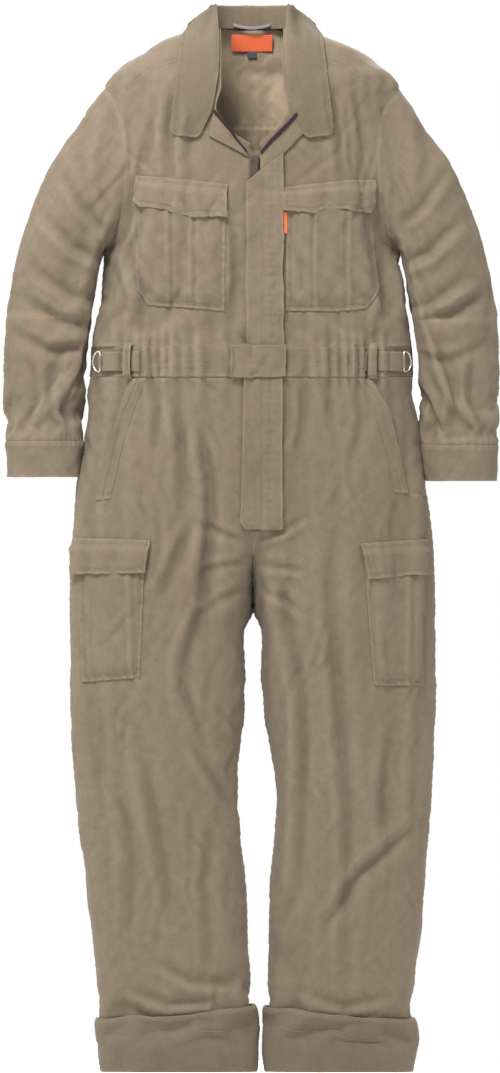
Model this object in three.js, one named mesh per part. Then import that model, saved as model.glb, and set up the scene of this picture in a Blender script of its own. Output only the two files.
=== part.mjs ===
// A work coverall of the kind worn for beekeeping: a one-piece suit of cotton twill, standing open as a
// dress form would hold it, and carried by the hanger loop inside its back neck.
// Millimetres, +Z up, the front faces -Y. The origin is the middle of the hanger loop.
// "right" and "left" are the wearer's: right is -X, left is +X.
import * as THREE from "three";
import { mergeVertices } from "three/addons/utils/BufferGeometryUtils.js";

// ---------- Driving sizes ----------
const CLOTH = 3; // wall of a cloth panel: the twill, its seam allowance and its facing
const SEAM = 0.4; // half the clearance between two panels that are sewn edge to edge
const LAYER = 0.5; // clearance between two layers that lie on each other
const TRIM = 2.2; // thickness of what is sewn on top: flaps, plackets, pocket walls
const MID_Y = -42; // the plane of the side seams

// Heights, from the hanger loop.
const COLLAR_TOP = 35;
const NECK_SEAM = -2;
const SHOULDER_TIP = -88; // where the sleeve's crown meets the yoke
const YOKE_SEAM = -150;
const V_BOTTOM = -192; // lowest point of the open neck
const ARMPIT = -325;
const WAIST_TOP = -480;
const WAIST_BOTTOM = -526;
const FLY_BOTTOM = -752;
const CROTCH = -872;
const KNEE = -1150;
const HEM = -1570;
const TURNUP_HEIGHT = 92;

// Outlines of the body as [height, size], from the top down.
const SHOULDER_HALF = 222; // half the width across the shoulders, where the sleeves begin
const HALF_WIDTH = [[0, 58], [-10, 100], [-22, 134], [-52, SHOULDER_HALF - 38], [SHOULDER_TIP, SHOULDER_HALF],
  [ARMPIT, SHOULDER_HALF], [ARMPIT - 75, 230], [WAIST_TOP, 240], [WAIST_BOTTOM, 241], [WAIST_BOTTOM - 74, 248],
  [WAIST_BOTTOM - 174, 264], [CROTCH + 82, 275], [CROTCH, 278], [KNEE + 50, 276], [KNEE - 72, 266],
  [HEM + 228, 254], [HEM + 108, 240], [HEM, 236]];
const FRONT_DEPTH = [[0, 48], [-22, 58], [-52, 68], [SHOULDER_TIP, 77], [YOKE_SEAM, 84], [CROTCH, 84],
  [CROTCH - 128, 68], [KNEE, 54], [KNEE - 150, 46], [HEM, 42]];
const BACK_DEPTH = [[0, 52], [-52, 66], [SHOULDER_TIP, 76], [YOKE_SEAM, 84], [ARMPIT, 80], [WAIST_TOP, 62],
  [WAIST_BOTTOM, 62], [WAIST_BOTTOM - 114, 80], [FLY_BOTTOM - 8, 86], [CROTCH, 78], [CROTCH - 128, 62],
  [KNEE, 52], [KNEE - 150, 46], [HEM, 42]];
const INSEAM_X = [[CROTCH, 0.4], [CROTCH - 38, 13], [CROTCH - 88, 11], [CROTCH - 168, 16], [KNEE - 12, 28],
  [KNEE - 132, 17], [HEM + 168, 13], [HEM, 9]];
const NECK_EDGE_X = [[0, 47], [-60, 46], [-90, 46], [V_BOTTOM + 70, 54], [V_BOTTOM, 12]];
const ARMHOLE_X = [[SHOULDER_TIP, SHOULDER_HALF], [YOKE_SEAM, SHOULDER_HALF - 26], [ARMPIT + 85, SHOULDER_HALF - 19],
  [ARMPIT, SHOULDER_HALF]];
const ARMHOLE_DEPTH = 56; // half the armhole's width, front to back
const SQUARENESS = 2.4; // exponent of the body's rounded section

// Sleeve rings from the armhole to the cuff: outer fold and under-arm seam as [distance out from the
// shoulder's half width, height], and half depth.
const ELBOW = -424;
const CUFF_SEAM = -622;
const CUFF_HEIGHT = 54;
const ring = (out, under, depth) => ({
  out: [SHOULDER_HALF + out[0], out[1]], under: [SHOULDER_HALF + under[0], under[1]], depth,
});
const ELBOW_RING = ring([153, ELBOW], [25, ELBOW], 46);
const ARM_RINGS = [
  ring([0, SHOULDER_TIP], [0, ARMPIT], ARMHOLE_DEPTH),
  ring([40, SHOULDER_TIP - 28], [7, ARMPIT - 6], ARMHOLE_DEPTH),
  ring([76, SHOULDER_TIP - 87], [11, ARMPIT - 17], 54),
  ring([106, SHOULDER_TIP - 147], [15, ARMPIT - 31], 52),
  ring([128, ELBOW + 132], [18, ELBOW + 50], 50),
  ring([144, ELBOW + 72], [21, ELBOW + 28], 48),
  ELBOW_RING,
];
const FOREARM_RINGS = [
  ELBOW_RING,
  ring([155, ELBOW - 66], [31, ELBOW - 66], 44),
  ring([153, CUFF_SEAM + 66], [33, CUFF_SEAM + 66], 42),
  ring([148, CUFF_SEAM], [32, CUFF_SEAM], 40),
];
const CUFF_RINGS = [
  ring([150, CUFF_SEAM], [30, CUFF_SEAM], 42),
  ring([145, CUFF_SEAM - CUFF_HEIGHT], [38, CUFF_SEAM - CUFF_HEIGHT], 39),
];
const SLEEVE_GAP = 2.5; // between the armhole's edge and the sleeve
const CUFF_WALL = 4;

// Front opening.
const ZIP_X = 6; // the zip runs a little left of the middle
const ZIP_SLIT = 6; // half the gap between the two fronts
const CHAIN = { halfWidth: 2.4, thickness: 2.2 };
const SLIDER = { height: 12, wall: 1.4 };
const PULL = { halfWidth: 3, length: 30, thickness: 1.2 };
const PLACKET = { free: -11, sewn: 46, top: -240, room: 5.2, roomHalf: 8 };
const PATCH = { from: -33, to: 50, height: 47 };

// Pockets: edges as distances from the middle, heights of the mouth and the bottom, room for the hand.
const CHEST = {
  right: { inner: 39, outer: 177, mouth: -260, bottom: -424, bevel: 24 },
  left: { inner: 53, outer: 191, mouth: -260, bottom: -424, bevel: 24 },
  room: 9,
};
const CHEST_FLAP = {
  right: { inner: 36, outer: 184, topInner: -236, topOuter: -222, drop: 50 },
  left: { inner: 48, outer: 196, topInner: -240, topOuter: -226, drop: 50 },
};
const CARGO = { inner: 160, outer: 266, mouth: -794, bottom: -982, room: 12 };
const CARGO_FLAP = { inner: 154, outer: 268, top: -770, drop: 56 };
const HIP_BAG = { inner: 96, outer: 196, top: -545, bottom: -740, room: 7 };

// Waist tabs.
const STRAP = { from: 168, to: 222, height: 30 };
const KEEPER = { from: 176, to: 188, room: 5.2 };
const D_RING = { x: 224, width: 15, height: 30, wire: 1.3, stand: 5.7 };
const WAIST_MIDDLE = (WAIST_TOP + WAIST_BOTTOM) / 2;

// Back neck.
const LOOP = { halfWidth: 28, sag: 5, tape: 5, thickness: 2, room: 5.5 };
const LABEL = { halfWidth: 31, height: 25, top: -10 };
const SIZE_TAG = { halfWidth: 7, height: 9 };
const LABEL_THICKNESS = 1;

// ---------- Materials ----------
const cloth = (color = 0x96866f) => new THREE.MeshStandardMaterial({ color, roughness: 0.92, metalness: 0 });
const lining = () => cloth(0x8c7c66);
const zipCloth = () => new THREE.MeshStandardMaterial({ color: 0x33262a, roughness: 0.7, metalness: 0 });
const zipMetal = () => new THREE.MeshStandardMaterial({ color: 0x6d6258, roughness: 0.35, metalness: 1 });
const ringMetal = () => new THREE.MeshStandardMaterial({ color: 0xb3aa98, roughness: 0.3, metalness: 1 });
const orange = () => new THREE.MeshStandardMaterial({ color: 0xe2683a, roughness: 0.8, metalness: 0 });
const grey = () => new THREE.MeshStandardMaterial({ color: 0x4b4a4c, roughness: 0.85, metalness: 0 });

// ---------- Numbers and curves ----------
const clamp = (value, low, high) => Math.min(high, Math.max(low, value));
const mix = (a, b, t) => a + (b - a) * t;
const ease = (t) => clamp(t, 0, 1) ** 2 * (3 - 2 * clamp(t, 0, 1));
const steps = (count, from = 0, to = 1) => Array.from({ length: count + 1 }, (_, i) => mix(from, to, i / count));
// Like steps, with an extra line close inside each end, for a wall there.
const walled = (count, rim) => [0, rim, ...steps(count, 0, 1).slice(1, -1), 1 - rim, 1].sort((a, b) => a - b);

// A smooth curve through [height, size] pairs that never overshoots them.
function profile(points) {
  const z = points.map((p) => p[0]);
  const s = points.map((p) => p[1]);
  const slope = z.slice(1).map((v, i) => (s[i + 1] - s[i]) / (v - z[i]));
  const tangent = z.map((_, i) => {
    const before = slope[i - 1] ?? slope[i];
    const after = slope[i] ?? slope[i - 1];
    return before * after <= 0 ? 0 : (2 * before * after) / (before + after);
  });
  return (at) => {
    if (at >= z[0]) return s[0];
    if (at <= z[z.length - 1]) return s[s.length - 1];
    const i = z.findIndex((v) => v < at) - 1;
    const h = z[i + 1] - z[i];
    const t = (at - z[i]) / h;
    const start = (1 + 2 * t) * (1 - t) ** 2 * s[i] + t * (1 - t) ** 2 * h * tangent[i];
    return start + t * t * (3 - 2 * t) * s[i + 1] + t * t * (t - 1) * h * tangent[i + 1];
  };
}

const halfWidth = profile(HALF_WIDTH);
const frontDepth = profile(FRONT_DEPTH);
const backDepth = profile(BACK_DEPTH);
const inseamX = profile(INSEAM_X);
const neckEdgeX = profile(NECK_EDGE_X);
const armholeX = profile(ARMHOLE_X);
const depthAt = (z, back) => (back ? backDepth(z) : frontDepth(z));

// ---------- The body's surface ----------
const rounded = (t) => (1 - Math.min(1, Math.abs(t)) ** SQUARENESS) ** (1 / SQUARENESS);
const inArmhole = (z) => z < SHOULDER_TIP && z > ARMPIT;

// Half the armhole's opening, front to back, at a height.
function armholeDepth(z) {
  const middle = (SHOULDER_TIP + ARMPIT) / 2;
  const half = (SHOULDER_TIP - ARMPIT) / 2;
  return ARMHOLE_DEPTH * Math.sqrt(Math.max(0, 1 - ((z - middle) / half) ** 2));
}

// Half the width that a section would have if it weren't cut off at the armhole.
function fullWidth(z, back) {
  if (!inArmhole(z)) return halfWidth(z);
  const share = Math.min(0.98, armholeDepth(z) / depthAt(z, back));
  return armholeX(z) / (1 - share ** SQUARENESS) ** (1 / SQUARENESS);
}

// How deep the body is at x, as a share of its greatest depth: one round section that parts into two legs.
function fullness(x, z, wide, inner) {
  const whole = rounded(x / wide);
  if (z > WAIST_BOTTOM) return whole;
  const parting = ease((FLY_BOTTOM - z) / (FLY_BOTTOM - CROTCH));
  const fromSeam = clamp((x - inner) / 80, 0, 1);
  const pinched = whole * mix(1, Math.sqrt(1 - (1 - fromSeam) ** 2), parting);
  const half = (wide - inner) / 2;
  return mix(pinched, rounded((x - inner - half) / half), ease((CROTCH - z) / 130));
}

// A point of the torso. t runs from the middle (0) to the side seam or armhole (1).
function torsoPoint(side, t, z, back, inset = 0) {
  const wide = fullWidth(z, back) - inset;
  const s = Math.sin((t * Math.PI) / 2);
  const x = wide * Math.sign(s) * Math.abs(s) ** (2 / SQUARENESS);
  const y = (depthAt(z, back) - inset) * fullness(x, z, wide, 0);
  return new THREE.Vector3(side * x, MID_Y + (back ? y : -y), z);
}

// A point of the trousers. t runs from the middle or the inseam (0) to the side seam (1).
function trouserPoint(side, t, z, back, inset = 0) {
  const parting = ease((FLY_BOTTOM - z) / (FLY_BOTTOM - CROTCH));
  const inner = (z < CROTCH ? inseamX(z) : 0) + inset * parting;
  const wide = halfWidth(z) - inset;
  const x = inner + (wide - inner) * (1 - Math.cos(Math.PI * t)) / 2;
  const y = (depthAt(z, back) - inset) * fullness(x, z, wide, inner);
  return new THREE.Vector3(side * x, MID_Y + (back ? y : -y), z);
}

// Where t has to be for a surface to pass over x.
function reach(surface, side, x, z, back) {
  let [low, high] = [0, 1];
  for (let i = 0; i < 24; i += 1) {
    const t = (low + high) / 2;
    if (Math.abs(surface(side, t, z, back).x) < x) low = t;
    else high = t;
  }
  return (low + high) / 2;
}

// The point of a surface at t and z, moved out by off along the surface's own normal.
function outFrom(surface, side, at, z, off, back = false) {
  const t = clamp(at, 0.004, 0.996);
  const point = surface(side, t, z, back);
  const across = surface(side, t + 0.003, z, back).sub(surface(side, t - 0.003, z, back));
  const down = surface(side, t, z - 1, back).sub(surface(side, t, z + 1, back));
  const normal = across.cross(down).normalize();
  if ((normal.y < 0) === back) normal.negate();
  return point.addScaledVector(normal, off);
}

// The same, for a surface over x.
function over(surface, x, z, off, back = false) {
  const side = x < 0 ? -1 : 1;
  const point = outFrom(surface, side, reach(surface, side, Math.abs(x), z, back), z, off, back);
  if (Math.abs(x) < 15) point.x = x;
  return point;
}

// The same, for a share u of the way from inner to outer, two distances from the middle.
function between(surface, side, inner, outer, u, z, off) {
  const [from, to] = [inner, outer].map((x) => reach(surface, side, x, z, false));
  return outFrom(surface, side, mix(from, to, u), z, off);
}

// ---------- Solids ----------
function solid(positions, triangles) {
  const geometry = new THREE.BufferGeometry();
  geometry.setAttribute("position", new THREE.Float32BufferAttribute(positions.flatMap((p) => p.toArray()), 3));
  const volume = triangles.reduce((sum, [a, b, c]) => {
    return sum + positions[a].dot(positions[b].clone().cross(positions[c]));
  }, 0);
  const outward = volume > 0 ? triangles : triangles.map(([a, b, c]) => [a, c, b]);
  geometry.setIndex(outward.flat());
  return geometry;
}

// A closed cloth panel: point(u, v, 1) is its outer face, point(u, v, 0) its inner one. A looped panel is
// a tube, whose last column is its first.
function panel(columns, rows, point, looped = false) {
  const us = looped ? columns.slice(0, -1) : columns;
  const [nu, nv] = [us.length, rows.length];
  const positions = [0, 1].flatMap((face) => rows.flatMap((v) => us.map((u) => point(u, v, face))));
  const at = (i, j, face) => face * nu * nv + j * nu + (i % nu);
  const triangles = [];
  const quad = (a, b, c, d) => triangles.push([a, b, c], [a, c, d]);
  for (let j = 0; j < nv - 1; j += 1) {
    for (let i = 0; i < (looped ? nu : nu - 1); i += 1) {
      quad(at(i, j, 1), at(i + 1, j, 1), at(i + 1, j + 1, 1), at(i, j + 1, 1));
      quad(at(i, j, 0), at(i, j + 1, 0), at(i + 1, j + 1, 0), at(i + 1, j, 0));
    }
  }
  for (let i = 0; i < (looped ? nu : nu - 1); i += 1) {
    quad(at(i, 0, 0), at(i + 1, 0, 0), at(i + 1, 0, 1), at(i, 0, 1));
    quad(at(i, nv - 1, 1), at(i + 1, nv - 1, 1), at(i + 1, nv - 1, 0), at(i, nv - 1, 0));
  }
  for (let j = 0; j < (looped ? 0 : nv - 1); j += 1) {
    quad(at(0, j, 1), at(0, j + 1, 1), at(0, j + 1, 0), at(0, j, 0));
    quad(at(nu - 1, j, 0), at(nu - 1, j + 1, 0), at(nu - 1, j + 1, 1), at(nu - 1, j, 1));
  }
  return solid(positions, triangles);
}

const suit = new THREE.Group();
function add(name, geometry, material) {
  const mesh = new THREE.Mesh(geometry, material);
  mesh.name = name;
  suit.add(mesh);
  return mesh;
}

const SIDES = [["right", -1], ["left", 1]];

// ---------- Torso ----------
// Sizes along a row run from the front's own edge to the side seam; the inner face follows the normal.
function torsoPanel(side, z, u, off, edge, back) {
  const seam = 0.0022;
  const from = edge === null ? seam : reach(torsoPoint, side, edge, z, back);
  const to = inArmhole(z) ? reach(torsoPoint, side, armholeX(z), z, back) - seam : 1 - seam;
  const t = mix(from, to, u);
  const point = torsoPoint(side, t, z, back);
  const h = 0.002;
  const across = torsoPoint(side, t + h / 2, z, back).sub(torsoPoint(side, t - h / 2, z, back));
  const step = z > -1.5 ? -0.5 : 0.5;
  const down = torsoPoint(side, t, z - 0.5 + Math.min(step, 0), back);
  down.sub(torsoPoint(side, t, z + Math.max(step, 0), back));
  const normal = across.cross(down).normalize();
  if ((normal.y < 0) === back) normal.negate();
  normal.z = 0;
  return point.addScaledVector(normal.normalize(), off);
}

// Distance of a front's own edge from the middle: the neckline, then one side of the zip's slit.
function frontEdge(side, z) {
  const slit = ZIP_SLIT + side * ZIP_X;
  return z > V_BOTTOM ? Math.max(0.3, mix(slit, neckEdgeX(z), ease((z - V_BOTTOM) / 40))) : Math.max(0.3, slit);
}

const SHOULDER_ROWS = [NECK_SEAM, -10, -22, -45, SHOULDER_TIP, SHOULDER_TIP - 16];
const BODY_ROWS = [ARMPIT + 45, ARMPIT + 17, ARMPIT, ARMPIT - 45, WAIST_TOP + 55, WAIST_TOP + SEAM];
const FRONT_ROWS = [...SHOULDER_ROWS, YOKE_SEAM + 20, YOKE_SEAM - 10, V_BOTTOM, V_BOTTOM - 43, ...BODY_ROWS];
for (const [name, side] of SIDES) {
  add(`front_${name}`, panel(steps(9), FRONT_ROWS, (u, z, face) => {
    return torsoPanel(side, z, u, face ? 0 : -CLOTH, frontEdge(side, z), false);
  }), cloth());
}

// The back and its yoke run from side to side: u goes from the right seam through the middle to the left one.
const acrossBack = (u, z, off) => {
  const side = u < 0.5 ? -1 : 1;
  const reachOut = Math.abs(u - 0.5) * 2;
  const seamless = reachOut < 1e-6 ? torsoPoint(1, 0, z, true).add(new THREE.Vector3(0, off, 0)) : null;
  return seamless ?? torsoPanel(side, z, reachOut, off, null, true);
};
const YOKE_ROWS = [...SHOULDER_ROWS, YOKE_SEAM + 24, YOKE_SEAM + SEAM];
add("back_yoke", panel(steps(18), YOKE_ROWS, (u, z, face) => acrossBack(u, z, face ? 0 : -CLOTH)), cloth());
const BACK_ROWS = [YOKE_SEAM - SEAM, YOKE_SEAM - 45, YOKE_SEAM - 90, ...BODY_ROWS];
add("back_body", panel(steps(18), BACK_ROWS, (u, z, face) => acrossBack(u, z, face ? 0 : -CLOTH)), cloth());

// ---------- Collar ----------
// Around the neck, turn is 0 at the front, PI / 2 at the wearer's left, PI at the back.
const NECK = { wide: 58, front: 48, back: 52, fallOff: 1.2 };
function neckPoint(turn, z, off) {
  const [s, c] = [Math.sin(turn), Math.cos(turn)];
  const power = 2 / SQUARENESS;
  const x = Math.sign(s) * (NECK.wide + off) * Math.abs(s) ** power;
  const y = -Math.sign(c) * ((c > 0 ? NECK.front : NECK.back) + off) * Math.abs(c) ** power;
  return new THREE.Vector3(x, MID_Y + y, z);
}
const STAND_ENDS = [1.15, 2 * Math.PI - 1.15];
add("collar_stand", panel(steps(18, ...STAND_ENDS), [COLLAR_TOP, NECK_SEAM + SEAM], (turn, z, face) => {
  return neckPoint(turn, z, face ? 0 : -CLOTH + 0.5);
}), cloth());

const FALL_ENDS = [1.62, 2 * Math.PI - 1.62];
// The fall drops from the stand's top to an edge that rises from the middle of the back to the shoulders.
add("collar_fall", panel(steps(14, ...FALL_ENDS), steps(4), (turn, v, face) => {
  const behind = Math.abs(Math.cos(turn));
  const z = mix(COLLAR_TOP, mix(-2, -34, behind), v);
  const point = neckPoint(turn, z, NECK.fallOff + ease(v * 1.2) * mix(38, 18, behind) + (face ? TRIM : 0));
  const floor = over(torsoPoint, Math.abs(point.x) < 1 ? 1 : point.x, Math.min(z, -3), 0, true).y;
  if (z < 0) point.y = Math.max(point.y, floor + 2 + (face ? TRIM : 0));
  return point;
}), cloth());

// A collar leaf lies over the shoulder and chest: u runs from the fold (0) to the outer edge (1), v from
// the shoulder (0) to the tip (1).
const LEAF_FOLD = [[60, 34], [54, 8], [50, -40], [50, -85], [58, -121]];
const LEAF_EDGE = [[108, -6], [113, -34], [117, -76], [121, -130], [116, -164]];
const along = (points, v) => {
  const at = v * (points.length - 1);
  const i = Math.min(points.length - 2, Math.floor(at));
  return points[i].map((a, k) => mix(a, points[i + 1][k], at - i));
};
function leafPoint(side, u, v, face) {
  const [foldX, foldZ] = along(LEAF_FOLD, v);
  const [edgeX, edgeZ] = along(LEAF_EDGE, v);
  const [x, z] = [mix(foldX, edgeX, u), mix(foldZ, edgeZ, u)];
  const lift = 4 + 6 * (1 - v) * (1 - u) + (face ? TRIM : 0);
  const low = Math.min(z, -3);
  const point = over(torsoPoint, side * Math.min(x, halfWidth(low) - 0.5), low, lift);
  const out = face ? TRIM * 0.6 : 0;
  return new THREE.Vector3(side * Math.max(x + out, Math.abs(point.x)), point.y, Math.min(z + point.z - low, COLLAR_TOP));
}
for (const [name, side] of SIDES) {
  add(`collar_leaf_${name}`, panel(steps(5), steps(8), (u, v, face) => leafPoint(side, u, v, face)), cloth());
}

// ---------- Front opening ----------
// A strip between two edges, each given as [x, z] points, lying on the cloth from off to off + thick.
const strip = (surface, from, to, off, thick, columns, rows) => panel(columns, rows, (u, v, face) => {
  const [a, b] = [along(from, v), along(to, v)];
  const level = typeof off === "function" ? off(mix(a[0], b[0], u), mix(a[1], b[1], u)) : off;
  return over(surface, mix(a[0], b[0], u), mix(a[1], b[1], u), level + (face ? thick : 0));
});
const LAPEL_OFF = LAYER;
add("lapel_right", strip(torsoPoint, [[-56, -124], [-6, -187]], [[-64, -165], [-5, -197]], LAPEL_OFF, TRIM,
  steps(3), steps(6)), lining());
add("lapel_left", strip(torsoPoint, [[66, -130], [12.5, -187]], [[82, -156], [12.5, -228]], LAPEL_OFF, TRIM,
  steps(3), steps(6)), lining());
const TAPE_OFF = LAPEL_OFF + TRIM + LAYER;
add("zip_tape_left", strip(torsoPoint, [[66, -130], [13, -187]], [[70, -134], [13, -194]], TAPE_OFF, 1.6,
  steps(1), steps(8)), zipCloth());
add("zip_tape_right", strip(torsoPoint, [[-56, -124], [-7, -187]], [[-57, -130], [-7, -192]], TAPE_OFF, 1.6,
  steps(1), steps(8)), zipCloth());

// Room over the zip, so that the slider can run under the placket.
const zipRoom = (x) => LAYER + PLACKET.room * ease((PLACKET.roomHalf + 5 - Math.abs(x - ZIP_X)) / 5);
const covers = [ZIP_X - PLACKET.roomHalf - 5, ZIP_X - PLACKET.roomHalf, ZIP_X, ZIP_X + PLACKET.roomHalf,
  ZIP_X + PLACKET.roomHalf + 5];
const across = (from, to) => [from, ...covers.filter((x) => x > from + 1 && x < to - 1), to];
const cover = (surface, from, to, top, bottom, count) => panel(across(from, to), steps(count, top, bottom),
  (x, z, face) => over(surface, x, z, zipRoom(x) + (face ? TRIM : 0)));
add("placket", cover(torsoPoint, PLACKET.free, PLACKET.sewn, PLACKET.top, WAIST_TOP + 3, 6), cloth());
add("waist_patch", cover(torsoPoint, PATCH.from, PATCH.to, WAIST_TOP + 1, WAIST_BOTTOM - 1, 2), cloth());
add("fly", cover(trouserPoint, PLACKET.free - 2, PLACKET.sewn - 2, WAIST_BOTTOM - 3, FLY_BOTTOM, 6), cloth());

const chainTop = V_BOTTOM - 4;
const chainFront = MID_Y - frontDepth(V_BOTTOM) + (CLOTH - CHAIN.thickness) / 2;
const box = (x0, x1, y0, y1, z0, z1) => {
  const geometry = new THREE.BoxGeometry(x1 - x0, y1 - y0, z1 - z0);
  geometry.translate((x0 + x1) / 2, (y0 + y1) / 2, (z0 + z1) / 2);
  return geometry;
};
add("zip_chain", box(ZIP_X - CHAIN.halfWidth, ZIP_X + CHAIN.halfWidth, chainFront, chainFront + CHAIN.thickness,
  FLY_BOTTOM + 5.4, chainTop), zipCloth());
// The slider is a sleeve around the chain.
const SLIDER_ROOM = 0.4;
const sliderRing = (a, r) => {
  const halfX = CHAIN.halfWidth + SLIDER_ROOM + r;
  const halfY = CHAIN.thickness / 2 + SLIDER_ROOM + r;
  const [cx, cy] = [[1, 1], [-1, 1], [-1, -1], [1, -1]][a % 4];
  return [ZIP_X + cx * halfX, chainFront + CHAIN.thickness / 2 + cy * halfY];
};
add("zip_slider", panel([0, 1, 2, 3, 4], [chainTop + 2, chainTop + 2 - SLIDER.height], (a, z, face) => {
  const [x, y] = sliderRing(a, face ? SLIDER.wall : 0);
  return new THREE.Vector3(x, y, z);
}, true), zipMetal());
const pullBack = chainFront - SLIDER_ROOM - SLIDER.wall - 0.3;
add("zip_pull", box(ZIP_X - PULL.halfWidth, ZIP_X + PULL.halfWidth, pullBack - PULL.thickness, pullBack,
  chainTop - PULL.length, chainTop), zipMetal());

// ---------- Pockets and flaps ----------
// A pocket is a tray sewn down on three sides, open at its mouth.
const TRAY_RIM = 0.04;
function tray(surface, side, p, room) {
  const bevel = p.bevel ?? 0;
  return panel(walled(6, TRAY_RIM), [0, 0.25, 0.5, 0.75, 1 - TRAY_RIM, 1], (u, v, face) => {
    const outer = p.outer - bevel * ease((v - 0.8) / 0.2) * 0.6;
    const z = mix(p.mouth, p.bottom, v);
    const inside = u >= TRAY_RIM && u <= 1 - TRAY_RIM && v <= 1 - TRAY_RIM;
    const lift = face ? LAYER + room + TRIM : inside ? LAYER + room : LAYER;
    return between(surface, side, p.inner, outer, u, z, lift);
  });
}
const flapLift = (room) => room + TRIM + 4 * LAYER;
function flap(surface, side, p, room, count) {
  return panel(steps(count), [0, 0.3, 0.65, 1], (u, v, face) => {
    const top = mix(p.topInner ?? p.top, p.topOuter ?? p.top, u);
    const lift = mix(LAYER, flapLift(room), ease(v / 0.3)) + (face ? TRIM : 0);
    return between(surface, side, p.inner, p.outer, u, top - p.drop * v, lift);
  });
}
for (const [name, side] of SIDES) {
  add(`chest_pocket_${name}`, tray(torsoPoint, side, CHEST[name], CHEST.room), cloth());
  add(`chest_flap_${name}`, flap(torsoPoint, side, CHEST_FLAP[name], CHEST.room, 6), cloth());
  add(`cargo_pocket_${name}`, tray(trouserPoint, side, CARGO, CARGO.room), cloth());
  add(`cargo_flap_${name}`, flap(trouserPoint, side, CARGO_FLAP, CARGO.room, 6), cloth());
  // The bag of the slash pocket hangs inside the trousers, open towards the slash.
  add(`hip_bag_${name}`, panel(walled(4, TRAY_RIM).slice(0, -2).concat(1), walled(4, TRAY_RIM), (u, v, face) => {
    const z = mix(HIP_BAG.top, HIP_BAG.bottom, v);
    const inside = u >= TRAY_RIM && v >= TRAY_RIM && v <= 1 - TRAY_RIM;
    const front = -CLOTH - 1.5 * LAYER;
    const lift = front - (face ? HIP_BAG.room + TRIM : inside ? HIP_BAG.room : 0);
    return between(trouserPoint, side, HIP_BAG.inner, HIP_BAG.outer, u, z, lift);
  }), lining());
}
add("pocket_tag", strip(torsoPoint, [[47, -278], [47, -311]], [[52.3, -278], [52.3, -311]], LAYER, 1,
  steps(1), steps(1)), orange());

// ---------- Trousers ----------
const THIGH_ROWS = [WAIST_BOTTOM - SEAM, WAIST_BOTTOM - 54, WAIST_BOTTOM - 114, WAIST_BOTTOM - 174, FLY_BOTTOM + 6,
  FLY_BOTTOM + 2, CROTCH + 82, CROTCH + 47, CROTCH + 17, CROTCH, CROTCH - 18, CROTCH - 58, CROTCH - 118, KNEE + 80,
  KNEE + SEAM].sort((a, b) => b - a);
const SHIN_ROWS = [KNEE - SEAM, KNEE - 70, KNEE - 150, HEM + 180, HEM + 90, HEM];
const LEG_END = 0.0016;
for (const [name, side] of SIDES) {
  for (const [face, back] of [["front", false], ["back", true]]) {
    const point = (z, u, outer) => {
      const middle = z > CROTCH ? (back || z < FLY_BOTTOM + 4 ? 0.4 : ZIP_SLIT + side * ZIP_X) : 0;
      const from = middle > 0 ? reach(trouserPoint, 1, Math.max(0.4, middle), z, back) : LEG_END;
      return trouserPoint(side, mix(from, 1 - LEG_END, u), z, back, outer ? 0 : CLOTH);
    };
    add(`thigh_${face}_${name}`, panel(steps(9), THIGH_ROWS, (u, z, outer) => point(z, u, outer)), cloth());
    add(`shin_${face}_${name}`, panel(steps(9), SHIN_ROWS, (u, z, outer) => point(z, u, outer)), cloth());
  }
  const rollRows = [HEM + TURNUP_HEIGHT, HEM + TURNUP_HEIGHT / 2, HEM];
  add(`turn_up_${name}`, panel(steps(20), rollRows, (u, z, outer) => {
    const back = u > 0.5;
    const point = trouserPoint(side, back ? 2 - 2 * u : 2 * u, z, back);
    const centre = new THREE.Vector3(side * (halfWidth(z) + inseamX(z)) / 2, MID_Y, z);
    const out = point.clone().sub(centre).normalize();
    return point.addScaledVector(out, LAYER + 0.6 + (outer ? CLOTH + 1 : 0));
  }, true), cloth());
}

// ---------- Sleeves ----------
// A point of a sleeve: turn is 0 at the outer fold, a half turn under the arm; inset moves it inwards.
function sleevePoint(side, turn, along, rings, inset) {
  const at = clamp(along, 0, 1) * (rings.length - 1);
  const i = Math.min(rings.length - 2, Math.floor(at));
  const t = at - i;
  const part = (key, k) => mix(rings[i][key][k], rings[i + 1][key][k], t);
  const out = new THREE.Vector3(part("out", 0), MID_Y, part("out", 1));
  const under = new THREE.Vector3(part("under", 0), MID_Y, part("under", 1));
  const width = out.clone().sub(under);
  const c = 0.5 + Math.cos(turn) * (0.5 - inset / width.length());
  const point = under.clone().addScaledVector(width, c);
  const depth = mix(rings[i].depth, rings[i + 1].depth, t) - inset;
  point.y = MID_Y - depth * Math.sin(turn);
  if (rings === ARM_RINGS) point.x += (armholeX(point.z) - SHOULDER_HALF + SLEEVE_GAP) * (1 - ease(at / 1.6));
  return new THREE.Vector3(side * point.x, point.y, point.z);
}
const around = steps(18, 0, 2 * Math.PI);
const sleeve = (side, rings, wall, count, z0 = 0, z1 = 0) => panel(around, steps(count), (turn, v, face) => {
  const point = sleevePoint(side, turn, v, rings, face ? 0 : wall);
  point.z += v === 0 ? z0 : v === 1 ? z1 : 0;
  return point;
}, true);
for (const [name, side] of SIDES) {
  add(`sleeve_upper_${name}`, sleeve(side, ARM_RINGS, CLOTH, 6, 0, SEAM), cloth());
  add(`sleeve_lower_${name}`, sleeve(side, FOREARM_RINGS, CLOTH, 3, -SEAM, SEAM), cloth());
  add(`cuff_${name}`, sleeve(side, CUFF_RINGS, CUFF_WALL, 1, -SEAM), cloth());
}

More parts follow.
